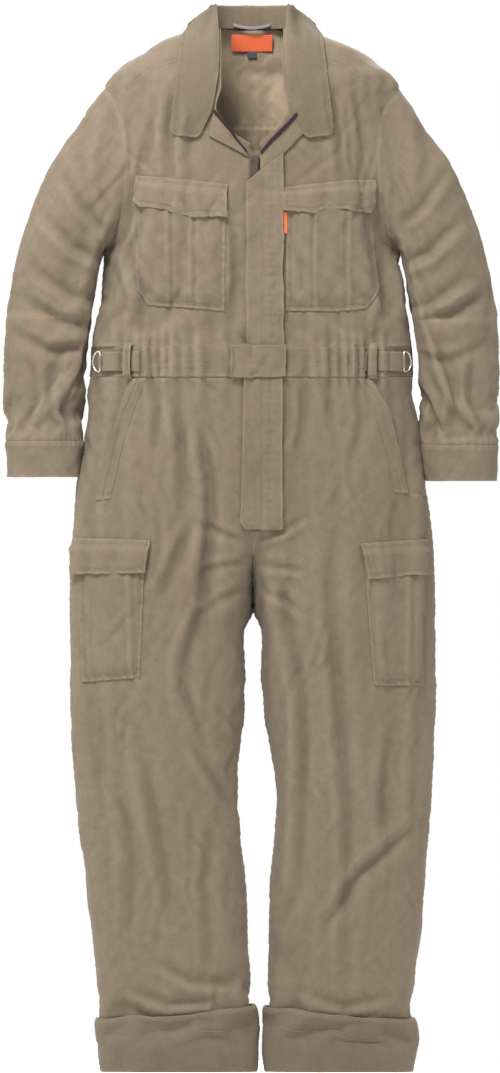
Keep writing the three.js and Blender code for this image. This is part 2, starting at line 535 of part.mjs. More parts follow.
// ---------- Waist ----------
const bandRows = [WAIST_TOP - SEAM, WAIST_MIDDLE, WAIST_BOTTOM + SEAM];
for (const [name, side] of SIDES) {
  add(`waistband_${name}`, panel(steps(8), bandRows, (u, z, face) => {
    return torsoPanel(side, z, u, face ? 0 : -CLOTH, frontEdge(side, z), false);
  }), cloth());
  add(`waist_strap_${name}`, strip(torsoPoint, [[side * STRAP.from, WAIST_MIDDLE + STRAP.height / 2],
    [side * STRAP.from, WAIST_MIDDLE - STRAP.height / 2]], [[side * STRAP.to, WAIST_MIDDLE + STRAP.height / 2],
    [side * STRAP.to, WAIST_MIDDLE - STRAP.height / 2]], LAYER, TRIM, steps(4), steps(2)), cloth());
  add(`belt_keeper_${name}`, panel([KEEPER.from, KEEPER.to], [0, 0.06, 0.14, 0.86, 0.94, 1], (x, v, face) => {
    const z = mix(WAIST_TOP + 4, WAIST_BOTTOM - 4, v);
    const lift = KEEPER.room * ease((0.5 - Math.abs(v - 0.5)) / 0.13);
    return over(z < WAIST_BOTTOM ? trouserPoint : torsoPoint, side * x, z, LAYER + lift + (face ? TRIM : 0));
  }), cloth());
}
add("waistband_back", panel(steps(16), bandRows, (u, z, face) => acrossBack(u, z, face ? 0 : -CLOTH)), cloth());

// A wire ring stands on the tab's end: a straight bar in front, a round bow behind it.
function ringFrame(side) {
  const foot = over(torsoPoint, side * D_RING.x, WAIST_MIDDLE, 0);
  const normal = over(torsoPoint, side * D_RING.x, WAIST_MIDDLE, 1).sub(foot).setZ(0).normalize();
  const back = new THREE.Vector3(side * Math.abs(normal.y), Math.abs(normal.x), 0);
  return { bar: foot.addScaledVector(normal, D_RING.stand), back };
}
for (const [name, side] of SIDES) {
  const { bar, back } = ringFrame(side);
  const half = D_RING.height / 2;
  const path = new THREE.CurvePath();
  const at = (along, z) => bar.clone().addScaledVector(back, along).setZ(WAIST_MIDDLE + z);
  path.add(new THREE.LineCurve3(at(0, half - 3), at(0, 3 - half)));
  path.add(new THREE.QuadraticBezierCurve3(at(0, 3 - half), at(0, -half), at(3, -half)));
  path.add(new THREE.CubicBezierCurve3(at(3, -half), at(D_RING.width * 1.25, -half), at(D_RING.width * 1.25, half),
    at(3, half)));
  path.add(new THREE.QuadraticBezierCurve3(at(3, half), at(0, half), at(0, half - 3)));
  const points = path.getSpacedPoints(24).slice(0, -1);
  const curve = new THREE.CatmullRomCurve3(points, true);
  const tube = new THREE.TubeGeometry(curve, 24, D_RING.wire, 6, true);
  tube.deleteAttribute("normal");
  tube.deleteAttribute("uv");
  add(`d_ring_${name}`, mergeVertices(tube, 1e-3), ringMetal());
  add(`ring_loop_${name}`, panel(steps(12, 0, 2 * Math.PI), [WAIST_MIDDLE + 9, WAIST_MIDDLE - 9], (a, z, face) => {
    const r = D_RING.wire + 0.5 + (face ? 1.4 : 0);
    return new THREE.Vector3(bar.x + r * Math.cos(a), bar.y + r * Math.sin(a), z);
  }, true), cloth());
}

// ---------- Back neck ----------
add("hanger_loop", panel(steps(12, -1, 1), [0.5, -0.5], (u, v, face) => {
  const x = LOOP.halfWidth * u;
  const wall = MID_Y + NECK.back * rounded(x / NECK.wide) - CLOTH - LAYER;
  const y = wall - LOOP.room * (1 - u * u) - (face ? LOOP.thickness : 0);
  return new THREE.Vector3(x, y, LOOP.sag * u * u + LOOP.tape * v);
}), grey());
const onInside = (x, z, off) => {
  const point = torsoPoint(1, 0, z, true);
  const bend = over(torsoPoint, Math.abs(x) < 1 ? 1 : x, z, 0, true).y - point.y;
  return new THREE.Vector3(x, point.y + bend - CLOTH - LAYER - off, z);
};
add("neck_label", panel(steps(4, -LABEL.halfWidth, LABEL.halfWidth), [LABEL.top, LABEL.top - LABEL.height],
  (x, z, face) => onInside(x, z, face ? LABEL_THICKNESS : 0)), orange());
add("size_tag", panel([-SIZE_TAG.halfWidth, SIZE_TAG.halfWidth], [LABEL.top - LABEL.height - 1,
  LABEL.top - LABEL.height - 1 - SIZE_TAG.height], (x, z, face) => onInside(x, z, face ? LABEL_THICKNESS : 0)),
grey());

export default suit;
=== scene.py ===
# A khaki cotton-twill work coverall, hung by its neck loop and filled out as if a body stood in it.
# Metres, +Z up, the front faces -Y. "right" and "left" are the wearer's: right is -X, left is +X.
import math

import bmesh
import bpy
import numpy as np
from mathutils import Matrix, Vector
from mathutils.bvhtree import BVHTree


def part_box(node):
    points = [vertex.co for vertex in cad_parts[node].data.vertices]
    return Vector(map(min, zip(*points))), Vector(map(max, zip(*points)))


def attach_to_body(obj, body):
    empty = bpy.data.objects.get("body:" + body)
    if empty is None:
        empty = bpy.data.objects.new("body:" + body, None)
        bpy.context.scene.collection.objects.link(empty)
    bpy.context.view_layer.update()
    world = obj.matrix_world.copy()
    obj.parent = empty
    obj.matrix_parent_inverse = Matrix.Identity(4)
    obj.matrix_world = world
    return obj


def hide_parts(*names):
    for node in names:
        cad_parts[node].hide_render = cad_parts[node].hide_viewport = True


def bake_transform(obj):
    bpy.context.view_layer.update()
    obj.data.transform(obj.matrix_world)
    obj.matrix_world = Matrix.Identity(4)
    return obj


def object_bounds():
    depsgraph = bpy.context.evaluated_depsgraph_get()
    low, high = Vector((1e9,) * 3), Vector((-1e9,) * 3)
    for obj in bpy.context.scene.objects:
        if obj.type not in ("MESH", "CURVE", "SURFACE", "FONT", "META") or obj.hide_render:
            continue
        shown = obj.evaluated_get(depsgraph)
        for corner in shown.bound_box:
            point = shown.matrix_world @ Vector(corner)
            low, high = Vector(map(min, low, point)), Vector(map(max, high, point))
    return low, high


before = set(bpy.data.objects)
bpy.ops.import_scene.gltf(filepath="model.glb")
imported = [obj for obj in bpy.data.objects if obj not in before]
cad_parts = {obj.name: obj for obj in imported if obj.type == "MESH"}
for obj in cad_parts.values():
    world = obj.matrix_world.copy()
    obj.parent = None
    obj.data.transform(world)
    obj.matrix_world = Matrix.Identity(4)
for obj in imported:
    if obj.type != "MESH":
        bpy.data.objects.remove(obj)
cad_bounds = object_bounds()


# ---- Camera, light and floor ------------------------------------------------------------------------
# The camera looks straight at the front from far away, so the suit is seen as flat as a pattern. Large
# soft lights hang above and in front of it, and a plain pale floor lies below the turn-ups.
scene = bpy.context.scene
scene.view_settings.view_transform = "Standard"
VIEW_HEIGHT = 1.6095
VIEW_CENTRE = Vector((-0.003, 0, -0.7655))
CAMERA_DISTANCE = 25.0
lens = bpy.data.cameras.new("camera")
lens.sensor_width = 36
lens.lens = 36 * (CAMERA_DISTANCE - 0.1) / VIEW_HEIGHT
lens.clip_end = 100
camera = bpy.data.objects.new("camera", lens)
camera.location = VIEW_CENTRE + Vector((0, -CAMERA_DISTANCE, 0))
camera.rotation_euler = (math.pi / 2, 0, 0)
scene.collection.objects.link(camera)
scene.camera = camera


def area_light(name, place, aim, size, power, tint=(1, 1, 1)):
    light = bpy.data.lights.new(name, "AREA")
    light.shape = "RECTANGLE"
    light.size, light.size_y = size
    light.energy = power
    light.color = tint
    lamp = bpy.data.objects.new(name, light)
    lamp.location = place
    lamp.rotation_euler = (Vector(aim) - Vector(place)).to_track_quat("-Z", "Y").to_euler()
    scene.collection.objects.link(lamp)


area_light("key_light", (-0.8, -1.7, 1.9), (0, 0, -0.55), (1.1, 0.7), 190)
area_light("fill_light", (2.4, -2.6, 0.4), (0, 0, -0.8), (1.6, 2.0), 42)
area_light("back_light", (0.4, 2.4, 1.5), (0, 0, -0.7), (2.0, 1.4), 160)
area_light("left_light", (-2.6, -0.4, 0.2), (0, 0, -0.8), (1.2, 2.0), 34)

world = bpy.data.worlds.new("studio")
world.use_nodes = True
world.node_tree.nodes["Background"].inputs["Color"].default_value = (1, 1, 1, 1)
world.node_tree.nodes["Background"].inputs["Strength"].default_value = 1.0
scene.world = world

FLOOR_Z = cad_bounds[0].z - 0.035
floor_mesh = bpy.data.meshes.new("floor")
floor_corners = [(-2, -2, FLOOR_Z), (2, -2, FLOOR_Z), (2, 1.6, FLOOR_Z), (-2, 1.6, FLOOR_Z)]
floor_mesh.from_pydata(floor_corners, [], [(0, 1, 2, 3)])
floor = bpy.data.objects.new("floor", floor_mesh)
scene.collection.objects.link(floor)
floor_paint = bpy.data.materials.new("floor_paint")
floor_paint.use_nodes = True
floor_paint.node_tree.nodes["Principled BSDF"].inputs["Base Color"].default_value = (0.93, 0.93, 0.92, 1)
floor_paint.node_tree.nodes["Principled BSDF"].inputs["Roughness"].default_value = 0.9
floor_mesh.materials.append(floor_paint)


# ---- Cloth: the twill --------------------------------------------------------------------------------
# Khaki cotton twill of about 245 g per square metre, piece dyed and washed once. A steep diagonal rib
# runs over a slightly uneven colour; ridges are painted a little paler, partly rubbed wear and partly painted
# highlight, and hollows are painted warmer and darker as painted shade.
def node_maker(material):
    tree = material.node_tree

    def make(kind, inputs=(), **settings):
        node = tree.nodes.new(kind)
        for key, value in settings.items():
            setattr(node, key, value)
        for key, value in dict(inputs).items():
            if isinstance(value, bpy.types.NodeSocket):
                tree.links.new(value, node.inputs[key])
            else:
                node.inputs[key].default_value = value
        return node

    return make


def cloth_material(name, colour, rib=0.0011, rough=0.9, wear_and_shade=1.0, weave_depth=0.30, fuzz=0.04):
    material = bpy.data.materials.new(name)
    material.use_nodes = True
    make = node_maker(material)
    shader = material.node_tree.nodes["Principled BSDF"]
    place = make("ShaderNodeNewGeometry").outputs["Position"]
    turned = make("ShaderNodeMapping", {"Vector": place, "Rotation": (0, math.radians(58), 0)}).outputs["Vector"]
    rows = make("ShaderNodeTexWave", {"Vector": turned, "Scale": 0.3183 / rib, "Distortion": 0.4, "Detail": 1.0,
                "Detail Scale": 2.0}, wave_type="BANDS", bands_direction="X")
    yarn = make("ShaderNodeTexNoise", {"Vector": place, "Scale": 900.0, "Detail": 2.0, "Roughness": 0.6})
    slub = make("ShaderNodeTexNoise", {"Vector": place, "Scale": 160.0, "Detail": 3.0, "Roughness": 0.55})
    cloud = make("ShaderNodeTexNoise", {"Vector": place, "Scale": 5.5, "Detail": 4.0, "Roughness": 0.55})
    low = tuple(c * s for c, s in zip(colour, (0.94, 0.93, 0.91)))
    high = tuple(min(1, c * s) for c, s in zip(colour, (1.04, 1.05, 1.07)))
    clouds = make("ShaderNodeValToRGB", {"Fac": cloud.outputs["Fac"]})
    clouds.color_ramp.elements[0].position = 0.32
    clouds.color_ramp.elements[0].color = (*low, 1)
    clouds.color_ramp.elements[1].position = 0.68
    clouds.color_ramp.elements[1].color = (*high, 1)
    flecks = make("ShaderNodeMapRange", {"Value": slub.outputs["Fac"], "From Min": 0.3, "From Max": 0.7,
                  "To Min": 0.93, "To Max": 1.06})
    ribs = make("ShaderNodeMapRange", {"Value": rows.outputs["Fac"], "To Min": 0.95, "To Max": 1.03})
    both = make("ShaderNodeMath", {0: flecks.outputs["Result"], 1: ribs.outputs["Result"]}, operation="MULTIPLY")
    woven = make("ShaderNodeVectorMath", {0: clouds.outputs["Color"], "Scale": both.outputs["Value"]},
                 operation="SCALE")
    # Painted highlight and shade: the colour is raised on convex ridges (partly rubbed wear, partly painted highlight)
    # and lowered in concave fold hollows (painted shade).
    edge = make("ShaderNodeMapRange", {"Value": make("ShaderNodeNewGeometry").outputs["Pointiness"],
                "From Min": 0.47, "From Max": 0.55, "To Min": -0.16 * wear_and_shade, "To Max": 0.16 * wear_and_shade})
    lift = make("ShaderNodeMath", {0: edge.outputs["Result"], 1: 1.0}, operation="ADD")
    worn_and_shaded = make("ShaderNodeVectorMath", {0: woven.outputs["Vector"], "Scale": lift.outputs["Value"]},
                operation="SCALE")
    height = make("ShaderNodeMath", {0: rows.outputs["Fac"], 1: yarn.outputs["Fac"]}, operation="ADD")
    bump = make("ShaderNodeBump", {"Height": height.outputs["Value"], "Strength": weave_depth, "Distance": 0.0004})
    crumple = make("ShaderNodeTexNoise", {"Vector": place, "Scale": 46.0, "Detail": 5.0, "Roughness": 0.62})
    soft = make("ShaderNodeBump", {"Height": crumple.outputs["Fac"], "Strength": 0.14, "Distance": 0.004,
                "Normal": bump.outputs["Normal"]})
    material.node_tree.links.new(worn_and_shaded.outputs["Vector"], shader.inputs["Base Color"])
    material.node_tree.links.new(soft.outputs["Normal"], shader.inputs["Normal"])
    shader.inputs["Roughness"].default_value = rough
    shader.inputs["Specular IOR Level"].default_value = 0.25
    shader.inputs["Sheen Weight"].default_value = fuzz
    shader.inputs["Sheen Roughness"].default_value = 0.6
    return material


TWILL_COLOUR = (0.112, 0.0855, 0.0565)
twill = cloth_material("khaki_twill", TWILL_COLOUR)
twill_wrong_side = cloth_material("khaki_twill_wrong_side", TWILL_COLOUR, rib=0.0014)
# Painted shade: the twill a shade darker, for the collar fall, the collar leaves and the turn-ups.
painted_shade_twill = cloth_material("khaki_doubled_twill", tuple(c * 0.82 for c in TWILL_COLOUR))
# Painted light: the twill 2.4 times brighter for the inside faces of the back yoke and back body, standing in for the
# light that reaches them only through the neck.
painted_light_back_inside = cloth_material("khaki_neck_lining", tuple(c * 2.4 for c in TWILL_COLOUR), rib=0.0012)


# ---- The cut: body, legs and sleeves as one surface ---------------------------------------------------
# The panels are cut from the same outlines as the shells they cover. Each outline is a list of heights
# and sizes from the top down; the side seams lie in one plane.
MID_Y = -0.042
ROUND = 2.4
TIP, ARMPIT, YOKE_SEAM, V_BOTTOM = -0.088, -0.325, -0.150, -0.192
WAIST_TOP, WAIST_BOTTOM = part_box("waistband_back")[1].z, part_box("waistband_back")[0].z
FLY_BOTTOM, CROTCH, KNEE, HEM = -0.752, -0.872, -1.150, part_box("shin_back_left")[0].z
HALF_WIDTH = [(0.0, 0.058), (-0.010, 0.100), (-0.022, 0.134), (-0.052, 0.184), (-0.088, 0.222),
              (-0.325, 0.222), (-0.400, 0.230), (-0.480, 0.240), (-0.526, 0.241), (-0.600, 0.248),
              (-0.700, 0.264), (-0.790, 0.275), (-0.872, 0.278), (-1.100, 0.276), (-1.222, 0.266),
              (-1.342, 0.254), (-1.462, 0.240), (-1.570, 0.236)]
FRONT_DEPTH = [(0.0, 0.048), (-0.022, 0.058), (-0.052, 0.068), (-0.088, 0.077), (-0.150, 0.084),
               (-0.872, 0.084), (-1.000, 0.068), (-1.150, 0.054), (-1.300, 0.046), (-1.570, 0.042)]
BACK_DEPTH = [(0.0, 0.052), (-0.052, 0.066), (-0.088, 0.076), (-0.150, 0.084), (-0.325, 0.080),
              (-0.480, 0.062), (-0.526, 0.062), (-0.640, 0.080), (-0.760, 0.086), (-0.872, 0.078),
              (-1.000, 0.062), (-1.150, 0.052), (-1.300, 0.046), (-1.570, 0.042)]
INSEAM = [(-0.872, 0.0004), (-0.910, 0.013), (-0.960, 0.011), (-1.040, 0.016), (-1.162, 0.028),
          (-1.282, 0.017), (-1.402, 0.013), (-1.570, 0.009)]
NECK_EDGE = [(0.0, 0.047), (-0.060, 0.046), (-0.090, 0.046), (-0.122, 0.054), (-0.160, 0.034), (-0.192, 0.002)]
ARMHOLE = [(-0.088, 0.222), (-0.150, 0.196), (-0.240, 0.203), (-0.325, 0.222)]
ARMHOLE_DEPTH = 0.056
ZIP_X = 0.006


def profile(points):
    """A smooth curve through (height, size) points that never overshoots them."""
    z = np.array([p[0] for p in points])[::-1]
    s = np.array([p[1] for p in points])[::-1]
    slope = np.diff(s) / np.diff(z)
    before, after = np.r_[slope[:1], slope], np.r_[slope, slope[-1:]]
    product = before * after
    tangent = np.where(product > 0, 2 * product / np.where(product > 0, before + after, 1), 0)

    def at(height):
        h = np.clip(height, z[0], z[-1])
        i = np.clip(np.searchsorted(z, h) - 1, 0, len(z) - 2)
        span = z[i + 1] - z[i]
        t = (h - z[i]) / span
        start = (1 + 2 * t) * (1 - t) ** 2 * s[i] + t * (1 - t) ** 2 * span * tangent[i]
        return start + t * t * (3 - 2 * t) * s[i + 1] + t * t * (t - 1) * span * tangent[i + 1]

    return at


def ease(t):
    t = np.clip(t, 0, 1)
    return t * t * (3 - 2 * t)


half_width, front_depth, back_depth = profile(HALF_WIDTH), profile(FRONT_DEPTH), profile(BACK_DEPTH)
inseam, neck_edge, armhole = profile(INSEAM), profile(NECK_EDGE), profile(ARMHOLE)


def rounded(t):
    return (1 - np.minimum(1, np.abs(t)) ** ROUND) ** (1 / ROUND)


def depth_at(z, back):
    return back_depth(z) if back else front_depth(z)


def armhole_depth(z):
    middle, half = (TIP + ARMPIT) / 2, (TIP - ARMPIT) / 2
    return ARMHOLE_DEPTH * math.sqrt(max(0, 1 - ((z - middle) / half) ** 2))


def body_row(z, back, start, end, count):
    """Evenly spaced points along the body's section at height z, from x = start to x = end."""
    wide = float(half_width(z))
    if ARMPIT < z < TIP:
        share = min(0.98, armhole_depth(z) / float(depth_at(z, back)))
        wide = float(armhole(z)) / (1 - share**ROUND) ** (1 / ROUND)
    inner = float(inseam(z)) if z < CROTCH else 0.0
    angle = np.linspace(-math.pi / 2, math.pi / 2, 801)
    if z < CROTCH:
        side = -1 if start + end < 0 else 1
        x = side * (inner + (wide - inner) * (1 + np.sin(angle)) / 2)
        x = x if side > 0 else x[::-1]
    else:
        x = wide * np.sign(angle) * np.abs(np.sin(angle)) ** (2 / ROUND)
    size = np.abs(x)
    full = rounded(size / wide)
    if z < WAIST_BOTTOM:
        parting = float(ease((FLY_BOTTOM - z) / (FLY_BOTTOM - CROTCH)))
        seam = np.clip((size - inner) / 0.080, 0, 1)
        full = full * (1 - parting + parting * np.sqrt(1 - (1 - seam) ** 2))
        half = (wide - inner) / 2
        legs = float(ease((CROTCH - z) / 0.130))
        full = full * (1 - legs) + legs * rounded((size - inner - half) / half)
    y = MID_Y + (1 if back else -1) * float(depth_at(z, back)) * full
    run = np.r_[0, np.cumsum(np.hypot(np.diff(x), np.diff(y)))]
    ends = np.interp([start, end], x, run)
    even = np.linspace(ends[0], ends[1], count + 1)
    return np.c_[np.interp(even, run, x), np.interp(even, run, y), np.full(count + 1, z)]


CELL = 0.0082
QUARTER = 34
ARM_ROWS = 34


def spaced(top, bottom, step, along=None):
    """Heights from top to bottom, evenly spaced along a curve of sizes (or along the height itself)."""
    z = np.linspace(top, bottom, 400)
    run = np.r_[0, np.cumsum(np.hypot(np.diff(z), np.diff(along(z)) if along else 0))]
    return np.interp(np.linspace(0, run[-1], max(2, round(run[-1] / step)) + 1), run, z)


def armhole_rows(count):
    turn = np.linspace(0, math.pi, 200)
    arc = np.r_[0, np.cumsum(np.hypot(np.diff(np.cos(turn)) * 0.1185, np.diff(np.sin(turn)) * ARMHOLE_DEPTH))]
    even_arc = (1 - np.cos(np.interp(np.linspace(0, arc[-1], count + 1), arc, turn))) / 2
    share = 0.5 * np.linspace(0, 1, count + 1) + 0.5 * even_arc
    return TIP + (ARMPIT - TIP) * share


NECK_TOP = -0.003
arm_z = armhole_rows(ARM_ROWS)
arm_z[np.argmin(abs(arm_z - YOKE_SEAM))] = YOKE_SEAM
arm_z[np.argmin(abs(arm_z - V_BOTTOM))] = V_BOTTOM
TURN_UP_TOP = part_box("turn_up_left")[1].z
body_z = np.r_[spaced(NECK_TOP, TIP, CELL, half_width), arm_z[1:], spaced(ARMPIT, WAIST_TOP, CELL)[1:],
               spaced(WAIST_TOP, WAIST_BOTTOM, CELL)[1:], spaced(WAIST_BOTTOM, CROTCH, CELL)[1:]]
leg_z = np.r_[spaced(CROTCH, KNEE, CELL), spaced(KNEE, TURN_UP_TOP, CELL)[1:], spaced(TURN_UP_TOP, HEM, CELL)[1:]]


def front_edge(side, z):
    """Where a front's own edge lies: the neckline above, the zip's line below it, then the crotch seam."""
    closed = side * ZIP_X * (1 - float(ease((FLY_BOTTOM - z) / 0.05)))
    return side * (closed + (float(neck_edge(z)) - closed) * float(ease((z - V_BOTTOM) / 0.040)))


def side_end(z):
    if z <= CROTCH or z >= TIP or z <= ARMPIT:
        return float(half_width(z))
    return float(armhole(z))


corners, faces, tags = [], [], []
PANELS = ["front_right", "front_left", "back_yoke", "back_body", "waistband_front_right", "waistband_front_left",
          "waistband_back", "trouser_front_right", "trouser_front_left", "trouser_back_right",
          "trouser_back_left", "sleeve_upper_right", "sleeve_upper_left", "sleeve_lower_right",
          "sleeve_lower_left", "cuff_right", "cuff_left"]


def lay_grid(rows, name_at):
    """Adds a grid of points as quads; name_at gives each row of quads its panel."""
    first = len(corners)
    wide = len(rows[0])
    for row in rows:
        corners.extend(map(tuple, row))
    for r in range(len(rows) - 1):
        tag = PANELS.index(name_at((rows[r][:, 2].mean() + rows[r + 1][:, 2].mean()) / 2, r))
        for c in range(wide - 1):
            a = first + r * wide + c
            faces.append((a, a + 1, a + wide + 1, a + wide))
            tags.append(tag)


for name, side in (("right", -1), ("left", 1)):
    def front_name(z, r, name=name):
        return (f"front_{name}" if z > WAIST_TOP else f"waistband_front_{name}" if z > WAIST_BOTTOM
                else f"trouser_front_{name}")
    rows = [body_row(z, False, side * side_end(z), front_edge(side, z), QUARTER)[::side] for z in body_z]
    lay_grid([row[::-1] for row in rows], front_name)


def back_name(side_name):
    return lambda z, r: ("back_yoke" if z > YOKE_SEAM else "back_body" if z > WAIST_TOP
                         else "waistband_back" if z > WAIST_BOTTOM else f"trouser_back_{side_name}")


for name, side in (("right", -1), ("left", 1)):
    ends = (0.0, side_end) if side > 0 else (side_end, 0.0)
    rows = [body_row(z, True, 0.0, side_end(z), QUARTER) if side > 0
            else body_row(z, True, -side_end(z), 0.0, QUARTER) for z in body_z]
    lay_grid(rows, back_name(name))
    for back in (False, True):
        inner = [side * float(inseam(z)) if z < CROTCH else 0.0 for z in leg_z]
        rows = [body_row(z, back, *sorted((x, side * side_end(z))), QUARTER) for z, x in zip(leg_z, inner)]
        face = "back" if back else "front"
        lay_grid(rows if back else [row[::-1] for row in rows], lambda z, r: f"trouser_{face}_{name}")

ARM_RINGS = np.array([  # outer fold x, z; under-arm seam x, z; half depth
    (0.222, TIP, 0.222, ARMPIT, 0.056), (0.262, -0.116, 0.229, -0.331, 0.056),
    (0.298, -0.175, 0.233, -0.342, 0.054), (0.328, -0.235, 0.237, -0.356, 0.052),
    (0.350, -0.292, 0.240, -0.374, 0.050), (0.366, -0.352, 0.243, -0.396, 0.048),
    (0.375, -0.424, 0.247, -0.424, 0.046), (0.377, -0.490, 0.253, -0.490, 0.044),
    (0.375, -0.556, 0.255, -0.556, 0.042), (0.370, -0.622, 0.254, -0.622, 0.040),
    (0.367, -0.676, 0.260, -0.676, 0.039)])
ring_run = np.r_[0, np.cumsum(np.hypot(np.diff(ARM_RINGS[:, [0, 2]].mean(1)), np.diff(ARM_RINGS[:, [1, 3]].mean(1))))]
ELBOW_AT, CUFF_AT = ring_run[6], ring_run[9]
sleeve_run = np.r_[spaced(0, ELBOW_AT, CELL), spaced(ELBOW_AT, CUFF_AT, CELL)[1:],
                   spaced(CUFF_AT, ring_run[-1], CELL)[1:]]
first_turn = np.arccos(1 - 2 * (TIP - arm_z) / (TIP - ARMPIT))
last_turn = np.linspace(0, math.pi, ARM_ROWS + 1)


def sleeve_ring(at):
    out_x, out_z, under_x, under_z, depth = (np.interp(at, ring_run, ARM_RINGS[:, k]) for k in range(5))
    half = first_turn + (last_turn - first_turn) * float(ease(at / 0.10))
    turn = np.r_[half, 2 * math.pi - half[-2::-1]]
    c = 0.5 + 0.5 * np.cos(turn)
    ring = np.c_[under_x + (out_x - under_x) * c, MID_Y - depth * np.sin(turn), under_z + (out_z - under_z) * c]
    hollow = armhole(ring[:, 2]) - 0.222
    ring[:, 0] += hollow * (1 - float(ease(at / 0.095)))
    return ring


for name, side in (("right", -1), ("left", 1)):
    rows = [sleeve_ring(at) * (side, 1, 1) for at in sleeve_run]
    rows[0][:, 0] = side * np.array([side_end(z) for z in rows[0][:, 2]])
    middles = (sleeve_run[:-1] + sleeve_run[1:]) / 2
    names = [f"sleeve_upper_{name}" if m < ELBOW_AT else f"sleeve_lower_{name}" if m < CUFF_AT else f"cuff_{name}"
             for m in middles]
    lay_grid([row[::-1] for row in rows] if side > 0 else rows, lambda z, r: names[r])

cut = bpy.data.meshes.new("cut")
cut.from_pydata(corners, [], faces)
cut.polygons.foreach_set("material_index", tags)
cut_bm = bmesh.new()
cut_bm.from_mesh(cut)
bmesh.ops.remove_doubles(cut_bm, verts=cut_bm.verts, dist=0.0003)
bmesh.ops.recalc_face_normals(cut_bm, faces=cut_bm.faces)
cut_bm.to_mesh(cut)
cut_bm.free()


# ---- Cloth: how the suit falls --------------------------------------------------------------------------
# The cloth is cut with ease: a little wider and longer than the body inside it. Held at the neck, the
# waistband, the cuffs and the hems, it falls into folds, and the deeper creases of wear lie over them.
def coords(mesh):
    out = np.empty(len(mesh.vertices) * 3)
    mesh.vertices.foreach_get("co", out)
    return out.reshape(-1, 3)


def normals(mesh):
    out = np.empty(len(mesh.vertices) * 3)
    mesh.vertex_normals.foreach_get("vector", out)
    return out.reshape(-1, 3)


def path_distance(points, x, z):
    """How far (x, z) lies from a path of (x, z) points, and how far along it, from 0 to 1."""
    points = np.asarray(points, float)
    steps = np.hypot(*np.diff(points, axis=0).T)
    run = np.r_[0, np.cumsum(steps)]
    best, where = np.full(x.shape, 9.0), np.zeros(x.shape)
    for k, step in enumerate(steps):
        d = (points[k + 1] - points[k]) / step
        t = np.clip((x - points[k, 0]) * d[0] + (z - points[k, 1]) * d[1], 0, step)
        off_x, off_z = x - points[k, 0] - t * d[0], z - points[k, 1] - t * d[1]
        gap = np.hypot(off_x, off_z) * np.where(off_x * d[1] - off_z * d[0] < 0, -1, 1)
        closer = abs(gap) < abs(best)
        best = np.where(closer, gap, best)
        where = np.where(closer, (run[k] + t) / run[-1], where)
    return best, where


def fold(points, x, z, width, depth):
    """A fold along a path: a hollow on the path with a soft ridge on its left and a lower one on its right."""
    off, along = path_distance(points, x, z)
    fade = np.sin(math.pi * np.clip(along, 0.02, 0.98)) ** 0.6 * np.exp(-np.maximum(0, abs(off) - 4 * width) * 40)
    hollow = -np.exp(-abs(off / (0.85 * width)) ** 1.3)
    ridge = 0.85 * np.exp(-abs((off - 1.5 * width) / (0.95 * width)) ** 1.5)
    lesser = 0.40 * np.exp(-((off + 1.9 * width) / (1.4 * width)) ** 2)
    return depth * fade * (hollow + ridge + lesser)


